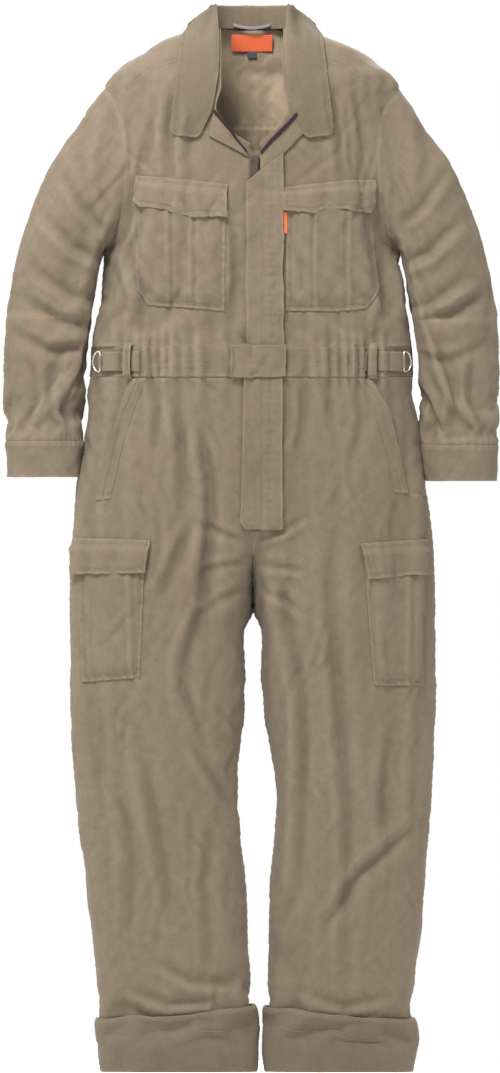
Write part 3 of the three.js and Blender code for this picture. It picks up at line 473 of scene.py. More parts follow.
# Folds as (x, height) paths from the top down, each with its width and depth; front ones, then back ones.
FRONT_FOLDS = [
    # right leg
    ([(-0.118, -0.540), (-0.105, -0.627), (-0.106, -0.714)], 0.010, 0.006),
    ([(-0.081, -0.583), (-0.062, -0.692), (-0.062, -0.729), (-0.072, -0.807), (-0.077, -0.852)], 0.011, 0.007),
    ([(-0.090, -0.744), (-0.114, -0.795), (-0.146, -0.864)], 0.010, 0.006),
    ([(-0.063, -0.745), (-0.076, -0.870), (-0.105, -0.948), (-0.111, -0.993), (-0.075, -1.086)], 0.012, 0.008),
    ([(-0.174, -1.071), (-0.160, -1.156), (-0.138, -1.278), (-0.129, -1.340)], 0.012, 0.007),
    ([(-0.099, -1.071), (-0.033, -1.175)], 0.010, 0.006),
    ([(-0.215, -1.120), (-0.190, -1.240), (-0.196, -1.370)], 0.013, 0.005),
    ([(-0.060, -1.180), (-0.082, -1.290), (-0.070, -1.420)], 0.012, 0.005),
    ([(-0.200, -1.440), (-0.140, -1.462), (-0.070, -1.455)], 0.009, 0.005),
    ([(-0.160, -1.395), (-0.100, -1.428), (-0.040, -1.432)], 0.009, 0.005),
    # left leg
    ([(0.042, -0.822), (0.057, -0.901), (0.070, -0.970), (0.076, -1.017), (0.075, -1.101), (0.070, -1.175),
      (0.057, -1.295), (0.032, -1.337)], 0.012, 0.009),
    ([(0.120, -0.764), (0.117, -0.857), (0.124, -0.924), (0.129, -0.993), (0.133, -1.062), (0.142, -1.185),
      (0.135, -1.295), (0.130, -1.449)], 0.012, 0.007),
    ([(0.252, -1.191), (0.159, -1.265), (0.090, -1.364)], 0.011, 0.008),
    ([(0.215, -1.060), (0.196, -1.150), (0.205, -1.260)], 0.013, 0.005),
    ([(0.060, -1.440), (0.130, -1.466), (0.200, -1.450)], 0.009, 0.005),
    # waist, under the band
    ([(-0.150, -0.530), (-0.140, -0.585), (-0.150, -0.640)], 0.008, 0.004),
    ([(0.075, -0.530), (0.078, -0.590), (0.066, -0.650)], 0.008, 0.004),
    ([(0.110, -0.530), (0.120, -0.600)], 0.008, 0.004),
    ([(0.155, -0.530), (0.165, -0.590), (0.150, -0.660)], 0.009, 0.004),
    # right chest
    ([(-0.118, -0.090), (-0.126, -0.160), (-0.120, -0.230)], 0.011, 0.005),
    ([(-0.085, -0.130), (-0.098, -0.200), (-0.090, -0.240)], 0.010, 0.004),
    ([(-0.196, -0.330), (-0.165, -0.400), (-0.170, -0.470)], 0.011, 0.006),
    ([(-0.030, -0.290), (-0.024, -0.380), (-0.034, -0.470)], 0.008, 0.004),
    ([(-0.215, -0.330), (-0.198, -0.300), (-0.190, -0.250)], 0.009, 0.004),
    # left chest
    ([(0.120, -0.090), (0.132, -0.160), (0.140, -0.230)], 0.011, 0.005),
    ([(0.160, -0.120), (0.176, -0.190), (0.182, -0.240)], 0.010, 0.004),
    ([(0.205, -0.330), (0.205, -0.400), (0.190, -0.470)], 0.011, 0.006),
    ([(0.215, -0.330), (0.204, -0.300), (0.199, -0.250)], 0.009, 0.004),
]
BACK_FOLDS = [
    ([(-0.120, -0.200), (-0.140, -0.320), (-0.110, -0.450)], 0.014, 0.007),
    ([(0.130, -0.210), (0.125, -0.330), (0.145, -0.455)], 0.014, 0.007),
    ([(0.020, -0.240), (-0.010, -0.350), (0.015, -0.460)], 0.013, 0.005),
    ([(-0.195, -0.300), (-0.175, -0.390), (-0.185, -0.470)], 0.011, 0.005),
    ([(0.205, -0.320), (0.180, -0.400), (0.190, -0.470)], 0.011, 0.005),
    ([(-0.130, -0.850), (-0.080, -0.930), (-0.120, -1.040)], 0.013, 0.008),
    ([(0.140, -0.860), (0.100, -0.950), (0.070, -1.060)], 0.013, 0.008),
    ([(-0.060, -0.800), (-0.110, -0.905), (-0.210, -0.980)], 0.012, 0.008),
    ([(0.050, -0.800), (0.110, -0.915), (0.215, -0.975)], 0.012, 0.008),
    ([(-0.205, -1.110), (-0.130, -1.165), (-0.050, -1.150)], 0.012, 0.008),
    ([(0.210, -1.125), (0.125, -1.170), (0.055, -1.160)], 0.012, 0.008),
    ([(-0.150, -1.200), (-0.115, -1.330), (-0.130, -1.450)], 0.013, 0.006),
    ([(0.150, -1.210), (0.120, -1.340), (0.140, -1.450)], 0.013, 0.006),
]
SLEEVE_FOLDS = [  # on the right sleeve as (distance out, height); the left one has them mirrored and shifted
    ([(0.235, -0.300), (0.270, -0.262), (0.300, -0.205)], 0.009, 0.006),
    ([(0.238, -0.345), (0.285, -0.320), (0.330, -0.270)], 0.010, 0.007),
    ([(0.245, -0.400), (0.290, -0.392), (0.345, -0.350)], 0.010, 0.006),
    ([(0.360, -0.395), (0.310, -0.430), (0.255, -0.440)], 0.010, 0.007),
    ([(0.368, -0.450), (0.320, -0.476), (0.262, -0.470)], 0.009, 0.005),
    ([(0.300, -0.460), (0.318, -0.535), (0.300, -0.600)], 0.010, 0.005),
    ([(0.345, -0.490), (0.335, -0.560), (0.350, -0.615)], 0.009, 0.005),
    ([(0.270, -0.520), (0.280, -0.570), (0.272, -0.618)], 0.009, 0.005),
    ([(0.255, -0.140), (0.275, -0.190), (0.262, -0.260)], 0.010, 0.004),
]


def small_creases(points, count, low, high, front_share):
    """Many short creases between two heights, each a few centimetres long, from a seeded draw."""
    draw = np.random.default_rng(29)
    x, y, z = points.T
    total = np.zeros(len(points))
    for _ in range(count):
        px, pz = draw.uniform(-0.27, 0.27), draw.uniform(low, high)
        lean, length = draw.normal(0, 0.45), draw.uniform(0.04, 0.13)
        bend = draw.normal(0, 0.010)
        path = [(px, pz), (px + lean * length / 2 + bend, pz - length / 2), (px + lean * length, pz - length)]
        width, depth = draw.uniform(0.0045, 0.0075), draw.uniform(0.0008, 0.0022)
        here = np.nonzero((abs(x - px) < 0.11) & (abs(z - pz + length / 2) < 0.12))[0]
        near_front = 1 / (1 + np.exp((y[here] - MID_Y) / 0.008))
        side = near_front if draw.uniform() < front_share else 1 - near_front
        total[here] += fold(path, x[here], z[here], width, depth) * side
    return total


def folds_at(points, share=1.0):
    """Total height of the folds at points of the uncreased suit, along its normal."""
    x, y, z = points.T
    total = np.zeros(len(points))
    front = 1 / (1 + np.exp((y - MID_Y) / 0.010))
    reach = abs(x) - 0.222
    in_sleeve = ((z < TIP) & (z > -0.70) & ((reach > 0.0) & (z > ARMPIT) | (abs(x) > 0.2435))).astype(float)
    for path, width, depth in FRONT_FOLDS:
        total += fold(path, x, z, width, depth) * front * (1 - in_sleeve)
    for path, width, depth in BACK_FOLDS:
        total += fold(path, x, z, width, depth) * (1 - front) * (1 - in_sleeve)
    for side in (-1, 1):
        for k, (path, width, depth) in enumerate(SLEEVE_FOLDS):
            shift = 0.0 if side < 0 else 0.014 * math.sin(2.3 * k + 1)
            moved = [(px + shift / 2, pz + shift) for px, pz in path]
            behind = [(px + 0.01 * math.sin(k), pz - 0.017) for px, pz in moved]
            own = in_sleeve * (x * side > 0)
            total += fold(moved, abs(x), z, width, depth) * front * own
            total += fold(behind, abs(x), z, width, depth) * (1 - front) * own
    return total * share


rng = np.random.default_rng(11)
start = coords(cut)
cut_normals = normals(cut)
waves = np.zeros(len(start))
for _ in range(26):
    way = rng.normal(size=3) * (1, 1, 0.45)
    way /= np.linalg.norm(way)
    waves += np.sin(start @ way * rng.uniform(70, 150) + rng.uniform(0, 6.3)) * 0.0004
begin = start + cut_normals * (folds_at(start, 0.5) + waves)[:, None]

SLEEVE_X, INNER_SLEEVE_X, SLEEVE_END_Z = 0.222, 0.2435, -0.70


def on_sleeve(x, z):
    """Whether each point belongs to a sleeve and not to the body."""
    return (abs(x) > SLEEVE_X) & (z < TIP) & (z > SLEEVE_END_Z) & ((z > ARMPIT) | (abs(x) > INNER_SLEEVE_X))


x, y, z = start.T
in_arm = on_sleeve(x, z)
hold = np.zeros(len(start))
for centre, reach, weight in ((0.0, 0.060, 1.0), (WAIST_TOP, 0.006, 0.9), ((WAIST_TOP + WAIST_BOTTOM) / 2, 0.026, 1.0),
                              (HEM, 0.030, 1.0)):
    near = weight * (1 - ease((abs(z - centre) - reach) / 0.02))
    hold = np.maximum(hold, np.where(in_arm, 0, near))
cuff_z = -0.650
hold = np.maximum(hold, np.where(in_arm, 1 - ease((abs(z - cuff_z) - 0.026) / 0.02), 0))
zip_side = (y < MID_Y) & (abs(x) < 0.05) & (z > FLY_BOTTOM)
hold = np.maximum(hold, np.where(zip_side, 0.75 * (1 - ease((abs(x - 0.012) - 0.02) / 0.03)), 0))
hold = np.maximum(hold, np.where(y < MID_Y, 1 - ease((np.hypot(abs(x) - 0.06, z + 0.07) - 0.075) / 0.03), 0))
seam_hold = 0.25 * np.exp(-((y - MID_Y) / 0.008) ** 2)
hold = np.maximum(hold, seam_hold) * 0.98 + 0.02

suit = bpy.data.objects.new("suit", cut)
scene.collection.objects.link(suit)
suit.shape_key_add(name="Basis")
eased = suit.shape_key_add(name="eased")
eased.data.foreach_set("co", (start * (1.06, 1.06, 1.016)).ravel())
for point, place in zip(suit.data.shape_keys.key_blocks["Basis"].data, begin):
    point.co = place
cut.vertices.foreach_set("co", begin.ravel())
held = suit.vertex_groups.new(name="held")
for index, weight in enumerate(hold):
    held.add([index], float(weight), "REPLACE")
cloth = suit.modifiers.new("cloth", "CLOTH")
cloth.settings.quality = 6
cloth.settings.mass = 0.25
cloth.settings.tension_stiffness = 18
cloth.settings.compression_stiffness = 18
cloth.settings.shear_stiffness = 6
cloth.settings.bending_stiffness = 0.5
cloth.settings.effector_weights.gravity = 0.4
cloth.settings.tension_damping = cloth.settings.compression_damping = 12
cloth.settings.air_damping = 4
cloth.settings.vertex_group_mass = "held"
cloth.settings.pin_stiffness = 1.0
cloth.settings.rest_shape_key = eased
cloth.settings.use_pressure = True
cloth.settings.uniform_pressure_force = 0.15
cloth.collision_settings.use_collision = False
LAST_FRAME = 32
cloth.point_cache.frame_start, cloth.point_cache.frame_end = 1, LAST_FRAME
scene.frame_start, scene.frame_end = 1, LAST_FRAME
for number in range(1, LAST_FRAME + 1):
    scene.frame_set(number)
fallen = coords(suit.evaluated_get(bpy.context.evaluated_depsgraph_get()).data)
scene.frame_set(1)
suit.modifiers.clear()
suit.shape_key_clear()
moved = fallen - start
outward = (moved * cut_normals).sum(1)
kept = 0.011 * np.tanh(np.maximum(outward, 0) / 0.011) + 0.022 * np.tanh(np.minimum(outward, 0) / 0.022)
moved += cut_normals * (kept - outward)[:, None]
drop = np.linalg.norm(moved, axis=1)
moved *= (0.030 * np.tanh(drop / 0.030) / np.maximum(drop, 1e-9))[:, None]


def finer(points):
    """The suit's surface through these points, with every face split in four and rounded."""
    cut.vertices.foreach_set("co", points.ravel())
    cut.update()
    split = suit.modifiers.new("finer", "SUBSURF")
    split.levels = split.render_levels = 1
    mesh = bpy.data.meshes.new_from_object(suit.evaluated_get(bpy.context.evaluated_depsgraph_get()))
    suit.modifiers.clear()
    return mesh


flat_mesh, fallen_mesh = finer(start), finer(start + moved)
flat, flat_out = coords(flat_mesh), normals(flat_mesh)
fallen, fallen_out = coords(fallen_mesh), normals(fallen_mesh)
quads = np.array([p.vertices[:] for p in flat_mesh.polygons])
panel_of = np.array([p.material_index for p in flat_mesh.polygons])

# Creases of wear, gathers under and over the elastic waist, and puckers beside the sewn seams.
x, y, z = flat.T
front_side = y < MID_Y
in_arm = on_sleeve(x, z)
body = ~in_arm
relief = folds_at(flat, 0.95)
relief += small_creases(flat, 190, -1.43, -0.10, 0.6)
for _ in range(34):
    way = rng.normal(size=3) * (1, 1, 0.5)
    way /= np.linalg.norm(way)
    size = rng.uniform(90, 420)
    relief += np.sin(flat @ way * size + 2.2 * np.sin(flat @ rng.normal(size=3) * 30)
                     + rng.uniform(0, 6.3)) * 0.030 / size
band_gap = np.maximum(0, np.maximum(z - WAIST_TOP, WAIST_BOTTOM - z))
gathered = np.where(front_side, np.clip((abs(x - 0.006) - 0.060) / 0.03, 0, 1), 1.0) * body
ripple = np.sin(x * 2 * math.pi / 0.0165 + 2.4 * np.sin(x * 41) + z * 12)
relief += 0.0024 * gathered * ripple * np.exp(-band_gap / 0.020)
relief += 0.0030 * gathered * np.sin(x * 2 * math.pi / 0.034 + 3 * np.sin(x * 23)) * np.exp(-band_gap / 0.055)
for gap, along in (
        (np.where(body, abs(y - MID_Y), 9), z),
        (np.where(in_arm & ~front_side, abs(y - MID_Y), 9), abs(x) + z),
        (np.where(body & ~front_side, abs(z - YOKE_SEAM), 9), x),
        (np.where(body & ~front_side & (z < WAIST_BOTTOM), abs(x), 9), z),
        (np.where(body & front_side & (z < FLY_BOTTOM), abs(x), 9), z),
        (np.where(in_arm, abs(z + 0.622), 9), x + y), (np.where(body, abs(z - TURN_UP_TOP), 9), x + y)):
    relief += 0.0009 * np.sin(along * 2 * math.pi / 0.0125 + 2 * np.sin(along * 37)) * np.exp(-gap / 0.007)
    relief -= 0.0012 * np.exp(-(gap / 0.0028) ** 2)
seam_zone = body & (z < FLY_BOTTOM + 0.01) & (z > CROTCH - 0.02)
relief += 0.0016 * np.exp(-(x / 0.0065) ** 2) * seam_zone
for start_z, way, turn in ((-0.772, -1, 0.030), (-0.800, -1, -0.020), (-0.770, 1, 0.036), (-0.806, 1, -0.010),
                           (-0.835, -1, -0.050), (-0.838, 1, -0.046)):
    crotch_fold = [(way * 0.010, start_z), (way * 0.045, start_z + turn * 0.4), (way * 0.085, start_z + turn)]
    relief += fold(crotch_fold, x, z, 0.0065, 0.0035) * front_side * body
calm = 1 - 0.75 * np.exp(-np.maximum(0, -0.02 - z) / 0.03) * body
calm *= 1 - 0.8 * np.exp(-(band_gap / 0.02) ** 2) * ease((abs(x) - 0.195) / 0.015) * body
calm *= 1 - 0.7 * ease((TURN_UP_TOP + 0.025 - z) / 0.04)
placed = fallen + fallen_out * (relief * calm)[:, None]
# The suit doesn't stand quite even: the legs lean to the wearer's left, and the left sleeve hangs lower.
lean = ease((CROTCH + 0.12 - z) / (CROTCH + 0.12 - HEM)) * body
placed[:, 0] += 0.0125 * lean * np.where(x < 0, 1.0, np.clip(1.15 - x / 0.24, 0, 1))
placed[:, 2] -= 0.006 * ease((x - 0.215) / 0.06) * in_arm
fallen_mesh.vertices.foreach_set("co", placed.ravel())
fallen_mesh.update()
outward = normals(fallen_mesh)


def attach(obj, body_name, blend=None):
    """Lets a piece move with its body; a piece given a blend is only baked in place."""
    if blend:
        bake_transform(obj)
    else:
        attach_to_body(obj, body_name)


def thin_piece(name, cells, outer, inner, material, body_name="root", blend=None, replaces=(), inside=None):
    """A thin closed piece of cloth between an outer and an inner surface that share their cells."""
    used = np.unique(cells)
    renumber = np.full(cells.max() + 1, -1)
    renumber[used] = np.arange(len(used))
    cells = renumber[cells]
    count = len(used)
    sides = {}
    for cell in cells.tolist():
        for a, b in zip(cell, cell[1:] + cell[:1]):
            if a != b:
                if (b, a) in sides:
                    del sides[b, a]
                else:
                    sides[a, b] = True
    rim = [(b, a, a + count, b + count) for a, b in sides]
    mesh = bpy.data.meshes.new(name)
    points = np.vstack([outer[used], inner[used]])
    mesh.from_pydata(points.tolist(), [], cells.tolist() + (cells[:, ::-1] + count).tolist() + rim)
    mesh.materials.append(material)
    if inside:
        mesh.materials.append(inside)
        mesh.polygons.foreach_set("material_index", [0] * len(cells) + [1] * len(cells) + [0] * len(rim))
    mesh.polygons.foreach_set("use_smooth", [True] * len(mesh.polygons))
    mesh.set_sharp_from_angle(angle=math.radians(60))
    obj = bpy.data.objects.new(name, mesh)
    scene.collection.objects.link(obj)
    attach(obj, body_name, blend)
    if replaces:
        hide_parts(*replaces)
    return obj


ZIP_CHANNEL = 0.0060
RING_X, RING_HOLLOW = 0.224, 0.0045  # a shallow hollow in the band, in which each ring lies when it is swung flat
in_channel = (flat[:, 1] < MID_Y) & (flat[:, 2] < V_BOTTOM + 0.012) & (flat[:, 2] > FLY_BOTTOM - 0.002)


def panel_piece(name, tags, rise=0.0, **how):
    """One panel of the suit as sewn: the cloth's outer face, raised by rise, and its inner face below."""
    cells = quads[np.isin(panel_of, [PANELS.index(tag) for tag in tags])]
    # The back panels' inside faces take the brightened twill, which is painted light.
    inside = painted_light_back_inside if name.startswith("back_") else twill_wrong_side
    rise = rise - ZIP_CHANNEL * np.exp(-((flat[:, :1] - ZIP_X) / 0.0080) ** 4) * in_channel[:, None]
    if name.startswith("waistband_front"):
        rise = rise - RING_HOLLOW * np.exp(-((abs(flat[:, :1]) - RING_X) / 0.022) ** 4)
    return thin_piece(name, cells, placed + outward * rise, placed + outward * (np.minimum(rise, 0) - 0.0012), twill,
                      inside=inside, **how)


for tag, nodes in (("front_right", ["front_right"]), ("front_left", ["front_left"]), ("back_yoke", ["back_yoke"]),
                   ("back_body", ["back_body"]), ("waistband_front_right", ["waistband_right"]),
                   ("waistband_front_left", ["waistband_left"]), ("waistband_back", ["waistband_back"])):
    panel_piece(tag, [tag], rise=0.0016 if "waistband" in tag else 0.0, replaces=nodes)
ARM_BLENDS, FOREARM_BLENDS, SHIN_BLENDS = {}, {}, {}
for name, side in (("right", -1), ("left", 1)):
    ARM_BLENDS[name] = ("root", f"arm_{name}", (side * 0.216, MID_Y, -0.2), (side * 0.256, MID_Y, -0.2025))
    FOREARM_BLENDS[name] = (f"arm_{name}", f"forearm_{name}",
                            (side * 0.31, MID_Y, -0.440), (side * 0.31, MID_Y, -0.520))
    SHIN_BLENDS[name] = ("root", f"shin_{name}", (side * 0.146, MID_Y, -1.115), (side * 0.146, MID_Y, -1.185))
    for face in ("front", "back"):
        tag = f"trouser_{face}_{name}"
        panel_piece(tag, [tag], blend=SHIN_BLENDS[name],
                                       replaces=[f"thigh_{face}_{name}", f"shin_{face}_{name}"])
    panel_piece(
        f"sleeve_upper_{name}", [f"sleeve_upper_{name}"], blend=ARM_BLENDS[name], replaces=[f"sleeve_upper_{name}"])
    panel_piece(
        f"sleeve_lower_{name}", [f"sleeve_lower_{name}"], blend=FOREARM_BLENDS[name],
        replaces=[f"sleeve_lower_{name}"])
    cells = quads[panel_of == PANELS.index(f"cuff_{name}")]
    thin_piece(f"cuff_{name}", cells, placed + outward * 0.0014, placed - outward * 0.0012,
                                             twill, body_name=f"forearm_{name}", replaces=[f"cuff_{name}"])

bpy.data.objects.remove(suit)

# Each main panel was cut flat from the bolt: the widest and the longest measure of its cut.
PANEL_CUTS = {
    "front_right": (0.270, 0.485), "front_left": (0.270, 0.485), "back_yoke": (0.500, 0.200),
    "back_body": (0.520, 0.335), "trouser_front_right": (0.330, 1.060), "trouser_front_left": (0.330, 1.060),
    "trouser_back_right": (0.340, 1.060), "trouser_back_left": (0.340, 1.060)}
for tag, cut_size in PANEL_CUTS.items():
    own = flat[quads[panel_of == PANELS.index(tag)]]

# ---- Chest pockets and their flaps ------------------------------------------------------------------------
# Patch pockets of the same twill, with two pleats for room and the lower outer corner cut off, edge
# stitched twice. Each flap is two layers, sewn in above the mouth and topstitched, and hangs free below.
triangles = np.vstack([quads[:, [0, 1, 2]], quads[:, [0, 2, 3]]])
flat_tree = BVHTree.FromPolygons(flat.tolist(), triangles.tolist())


def carried(hit, triangle):
    """Where a point of the uncreased surface has gone, and the way out from the cloth there."""
    a, b, c = flat[triangle]
    ab, ac, ap = b - a, c - a, hit - a
    d00, d01, d11 = ab @ ab, ab @ ac, ac @ ac
    d20, d21 = ap @ ab, ap @ ac
    bottom = d00 * d11 - d01 * d01
    v, w = (d11 * d20 - d01 * d21) / bottom, (d00 * d21 - d01 * d20) / bottom
    share = np.array([1 - v - w, v, w])
    way = share @ outward[triangle]
    return share @ placed[triangle], way / np.linalg.norm(way)


def lay_on(spots, lift, back=False):
    """Points at (x, z) on the suit's front or back as it lies, lifted off the cloth by lift."""
    sign = 1 if back else -1
    out = np.empty((len(spots), 3))
    lift = np.broadcast_to(lift, len(spots))
    for k, (px, pz) in enumerate(spots):
        spot, _, face, _ = flat_tree.ray_cast(Vector((px, sign * 0.5, pz)), Vector((0, -sign, 0)))
        if spot is None:
            spot, _, face, _ = flat_tree.find_nearest(Vector((px, MID_Y + sign * 0.03, pz)))
        place, way = carried(np.array(spot), triangles[face])
        out[k] = place + way * lift[k]
    return out


def follow(points, extra=0.0):
    """Moves points beside the uncreased suit to the same place beside the suit as it lies."""
    out = np.empty((len(points), 3))
    for k, point in enumerate(points):
        spot, _, face, _ = flat_tree.find_nearest(Vector(point))
        spot = np.array(spot)
        triangle = triangles[face]
        place, way = carried(spot, triangle)
        normal = flat_out[triangle].mean(0)
        normal /= np.linalg.norm(normal)
        off = np.array(point) - spot
        high = off @ normal
        out[k] = place + way * (high + extra) + (off - normal * high)
    return out


def smooth_grid(values, rounds):
    for _ in range(rounds):
        middle = values[1:-1, 1:-1]
        values[1:-1, 1:-1] = 0.5 * middle + 0.125 * (
            values[:-2, 1:-1] + values[2:, 1:-1] + values[1:-1, :-2] + values[1:-1, 2:])
    return values


def outline(points, u):
    """The point at share u of the way along a line of (share, x, z) points."""
    points = np.asarray(points, float)
    return np.stack([np.interp(u, points[:, 0], points[:, 1]), np.interp(u, points[:, 0], points[:, 2])], -1)


class Patch:
    """A sheet of cloth sewn on the suit: a grid between a top line and a bottom line, lifted off it."""

    def __init__(self, top, bottom, lift, wall=0.0012, cell=0.0035, smooth=3, back=False):
        span = max(np.ptp(np.array(top)[:, 1]), np.ptp(np.array(bottom)[:, 1]))
        fall = max(p[2] for p in top) - min(p[2] for p in bottom)
        self.shape = (max(4, round(fall / cell)) + 1, max(4, round(span / cell)) + 1)
        v, u = np.meshgrid(np.linspace(0, 1, self.shape[0]), np.linspace(0, 1, self.shape[1]), indexing="ij")
        spots = outline(top, u) * (1 - v[..., None]) + outline(bottom, u) * v[..., None]
        self.size = (span, fall)
        height = lift(u, v, spots[..., 0], spots[..., 1])
        self.outer = lay_on(spots.reshape(-1, 2), height.ravel(), back).reshape(*self.shape, 3)
        self.outer = smooth_grid(self.outer, smooth)
        self.wall = wall
        self.face(back)

    def face(self, back=False):
        """Set which way each point of the sheet looks: forward, or back for a piece on the back."""
        self.out = np.cross(np.gradient(self.outer, axis=1), np.gradient(self.outer, axis=0))
        self.out /= np.linalg.norm(self.out, axis=2, keepdims=True)
        if (self.out[..., 1].mean() > 0) != back:
            self.out = -self.out

    def at(self, u, v, up=0.0):
        """Points at shares (u, v) of the sheet, raised by up, and the way out there."""
        rows, columns = self.shape
        r, c = np.clip(v, 0, 1) * (rows - 1), np.clip(u, 0, 1) * (columns - 1)
        r0, c0 = np.minimum(r.astype(int), rows - 2), np.minimum(c.astype(int), columns - 2)
        fr, fc = (r - r0)[:, None], (c - c0)[:, None]

        def mix(grid):
            return ((grid[r0, c0] * (1 - fc) + grid[r0, c0 + 1] * fc) * (1 - fr)
                    + (grid[r0 + 1, c0] * (1 - fc) + grid[r0 + 1, c0 + 1] * fc) * fr)
        way = mix(self.out)
        way /= np.linalg.norm(way, axis=1, keepdims=True)
        return mix(self.outer) + way * up, way

    def make(self, name, material, **how):
        rows, columns = self.shape
        index = np.arange(rows * columns).reshape(rows, columns)
        cells = np.stack([index[:-1, :-1], index[1:, :-1], index[1:, 1:], index[:-1, 1:]], -1).reshape(-1, 4)
        corner = self.outer.reshape(-1, 3)
        facing = np.cross(corner[cells[0, 1]] - corner[cells[0, 0]], corner[cells[0, 3]] - corner[cells[0, 0]])
        if facing @ self.out.reshape(-1, 3)[cells[0, 0]] < 0:
            cells = cells[:, ::-1]
        inner = (self.outer - self.out * self.wall).reshape(-1, 3)
        return thin_piece(name, cells, corner, inner, material, **how)


# Thread: spun polyester a shade lighter than the twill, about 0.5 mm thick, ten stitches to the inch.
def thread_material(name, colour):
    material = bpy.data.materials.new(name)
    material.use_nodes = True
    make = node_maker(material)
    shader = material.node_tree.nodes["Principled BSDF"]
    place = make("ShaderNodeNewGeometry").outputs["Position"]
    strands = make("ShaderNodeTexNoise", {"Vector": place, "Scale": 1500.0, "Detail": 2.0})
    ramp = make("ShaderNodeValToRGB", {"Fac": strands.outputs["Fac"]})
    ramp.color_ramp.elements[0].color = (*(c * 0.75 for c in colour), 1)
    ramp.color_ramp.elements[1].color = (*(c * 1.2 for c in colour), 1)
    material.node_tree.links.new(ramp.outputs["Color"], shader.inputs["Base Color"])
    shader.inputs["Roughness"].default_value = 0.6
    shader.inputs["Sheen Weight"].default_value = 0.2
    return material


thread = thread_material("khaki_thread", (0.128, 0.097, 0.064))
STITCH, GAP, THREAD = 0.0026, 0.0010, 0.00036


def stitches(name, lines, body_name="root", blend=None, material=None, tight=1.0, thick=1.0):
    """Rows of stitches along lines, each a pair of point and way-out arrays."""
    points, cells = [], []
    for spots, ways in lines:
        run = np.r_[0, np.cumsum(np.linalg.norm(np.diff(spots, axis=0), axis=1))]
        count = int(run[-1] / ((STITCH + GAP) * tight))
        if count < 1:
            continue
        middle = (np.arange(count) + 0.5) * run[-1] / count
        half = STITCH * tight / 2

        def along(values, where):
            return np.stack([np.interp(where, run, values[:, k]) for k in range(3)], -1)
        a, b, way = along(spots, middle - half), along(spots, middle + half), along(ways, middle)
        m = along(spots, middle)
        ahead = b - a
        ahead /= np.maximum(np.linalg.norm(ahead, axis=1, keepdims=True), 1e-9)
        side = np.cross(ahead, way)
        side /= np.maximum(np.linalg.norm(side, axis=1, keepdims=True), 1e-9)
        r = THREAD * thick
        for k in range(count):
            first = len(points)
            for centre, wide, high in ((a[k], 0.5, -0.6), (a[k] + ahead[k] * half * 0.3, 1.0, 0.35),
                                       (m[k], 1.0, 0.6), (b[k] - ahead[k] * half * 0.3, 1.0, 0.35), (b[k], 0.5, -0.6)):
                points.extend([centre - side[k] * r * wide + way[k] * r * (high - 0.8),
                               centre + way[k] * r * (high + 0.4),
                               centre + side[k] * r * wide + way[k] * r * (high - 0.8)])
            for step in range(4):
                p = first + step * 3
                cells += [(p, p + 1, p + 4, p + 3), (p + 1, p + 2, p + 5, p + 4), (p + 2, p, p + 3, p + 5)]
            cells += [(first, first + 2, first + 1), (first + 12, first + 13, first + 14)]
    mesh = bpy.data.meshes.new(name)
    mesh.from_pydata([tuple(p) for p in points], [], cells)
    mesh.materials.append(material or thread)
    mesh.polygons.foreach_set("use_smooth", [True] * len(mesh.polygons))
    obj = bpy.data.objects.new(name, mesh)
    scene.collection.objects.link(obj)
    attach(obj, body_name, blend)
    return obj


def line_on(patch, spots, up=0.0003):
    """A line across a patch through (u, v) spots, as points and ways out."""
    spots = np.array(spots, float)
    run = np.r_[0, np.cumsum(np.hypot(np.diff(spots[:, 0]) * patch.size[0], np.diff(spots[:, 1]) * patch.size[1]))]
    even = np.linspace(0, run[-1], max(2, int(run[-1] / 0.004)) + 1)
    return patch.at(np.interp(even, run, spots[:, 0]), np.interp(even, run, spots[:, 1]), up)


def inset(patch, by_u, by_v):
    return by_u / patch.size[0], by_v / patch.size[1]


def pillow(u, v, edge_u, edge_v):
    """1 over the middle of a sheet, falling to 0 at its edges within the given shares."""
    a = np.minimum(u, 1 - u) / edge_u
    b = np.minimum(v, 1 - v) / edge_v
    return ease(a) * ease(b)


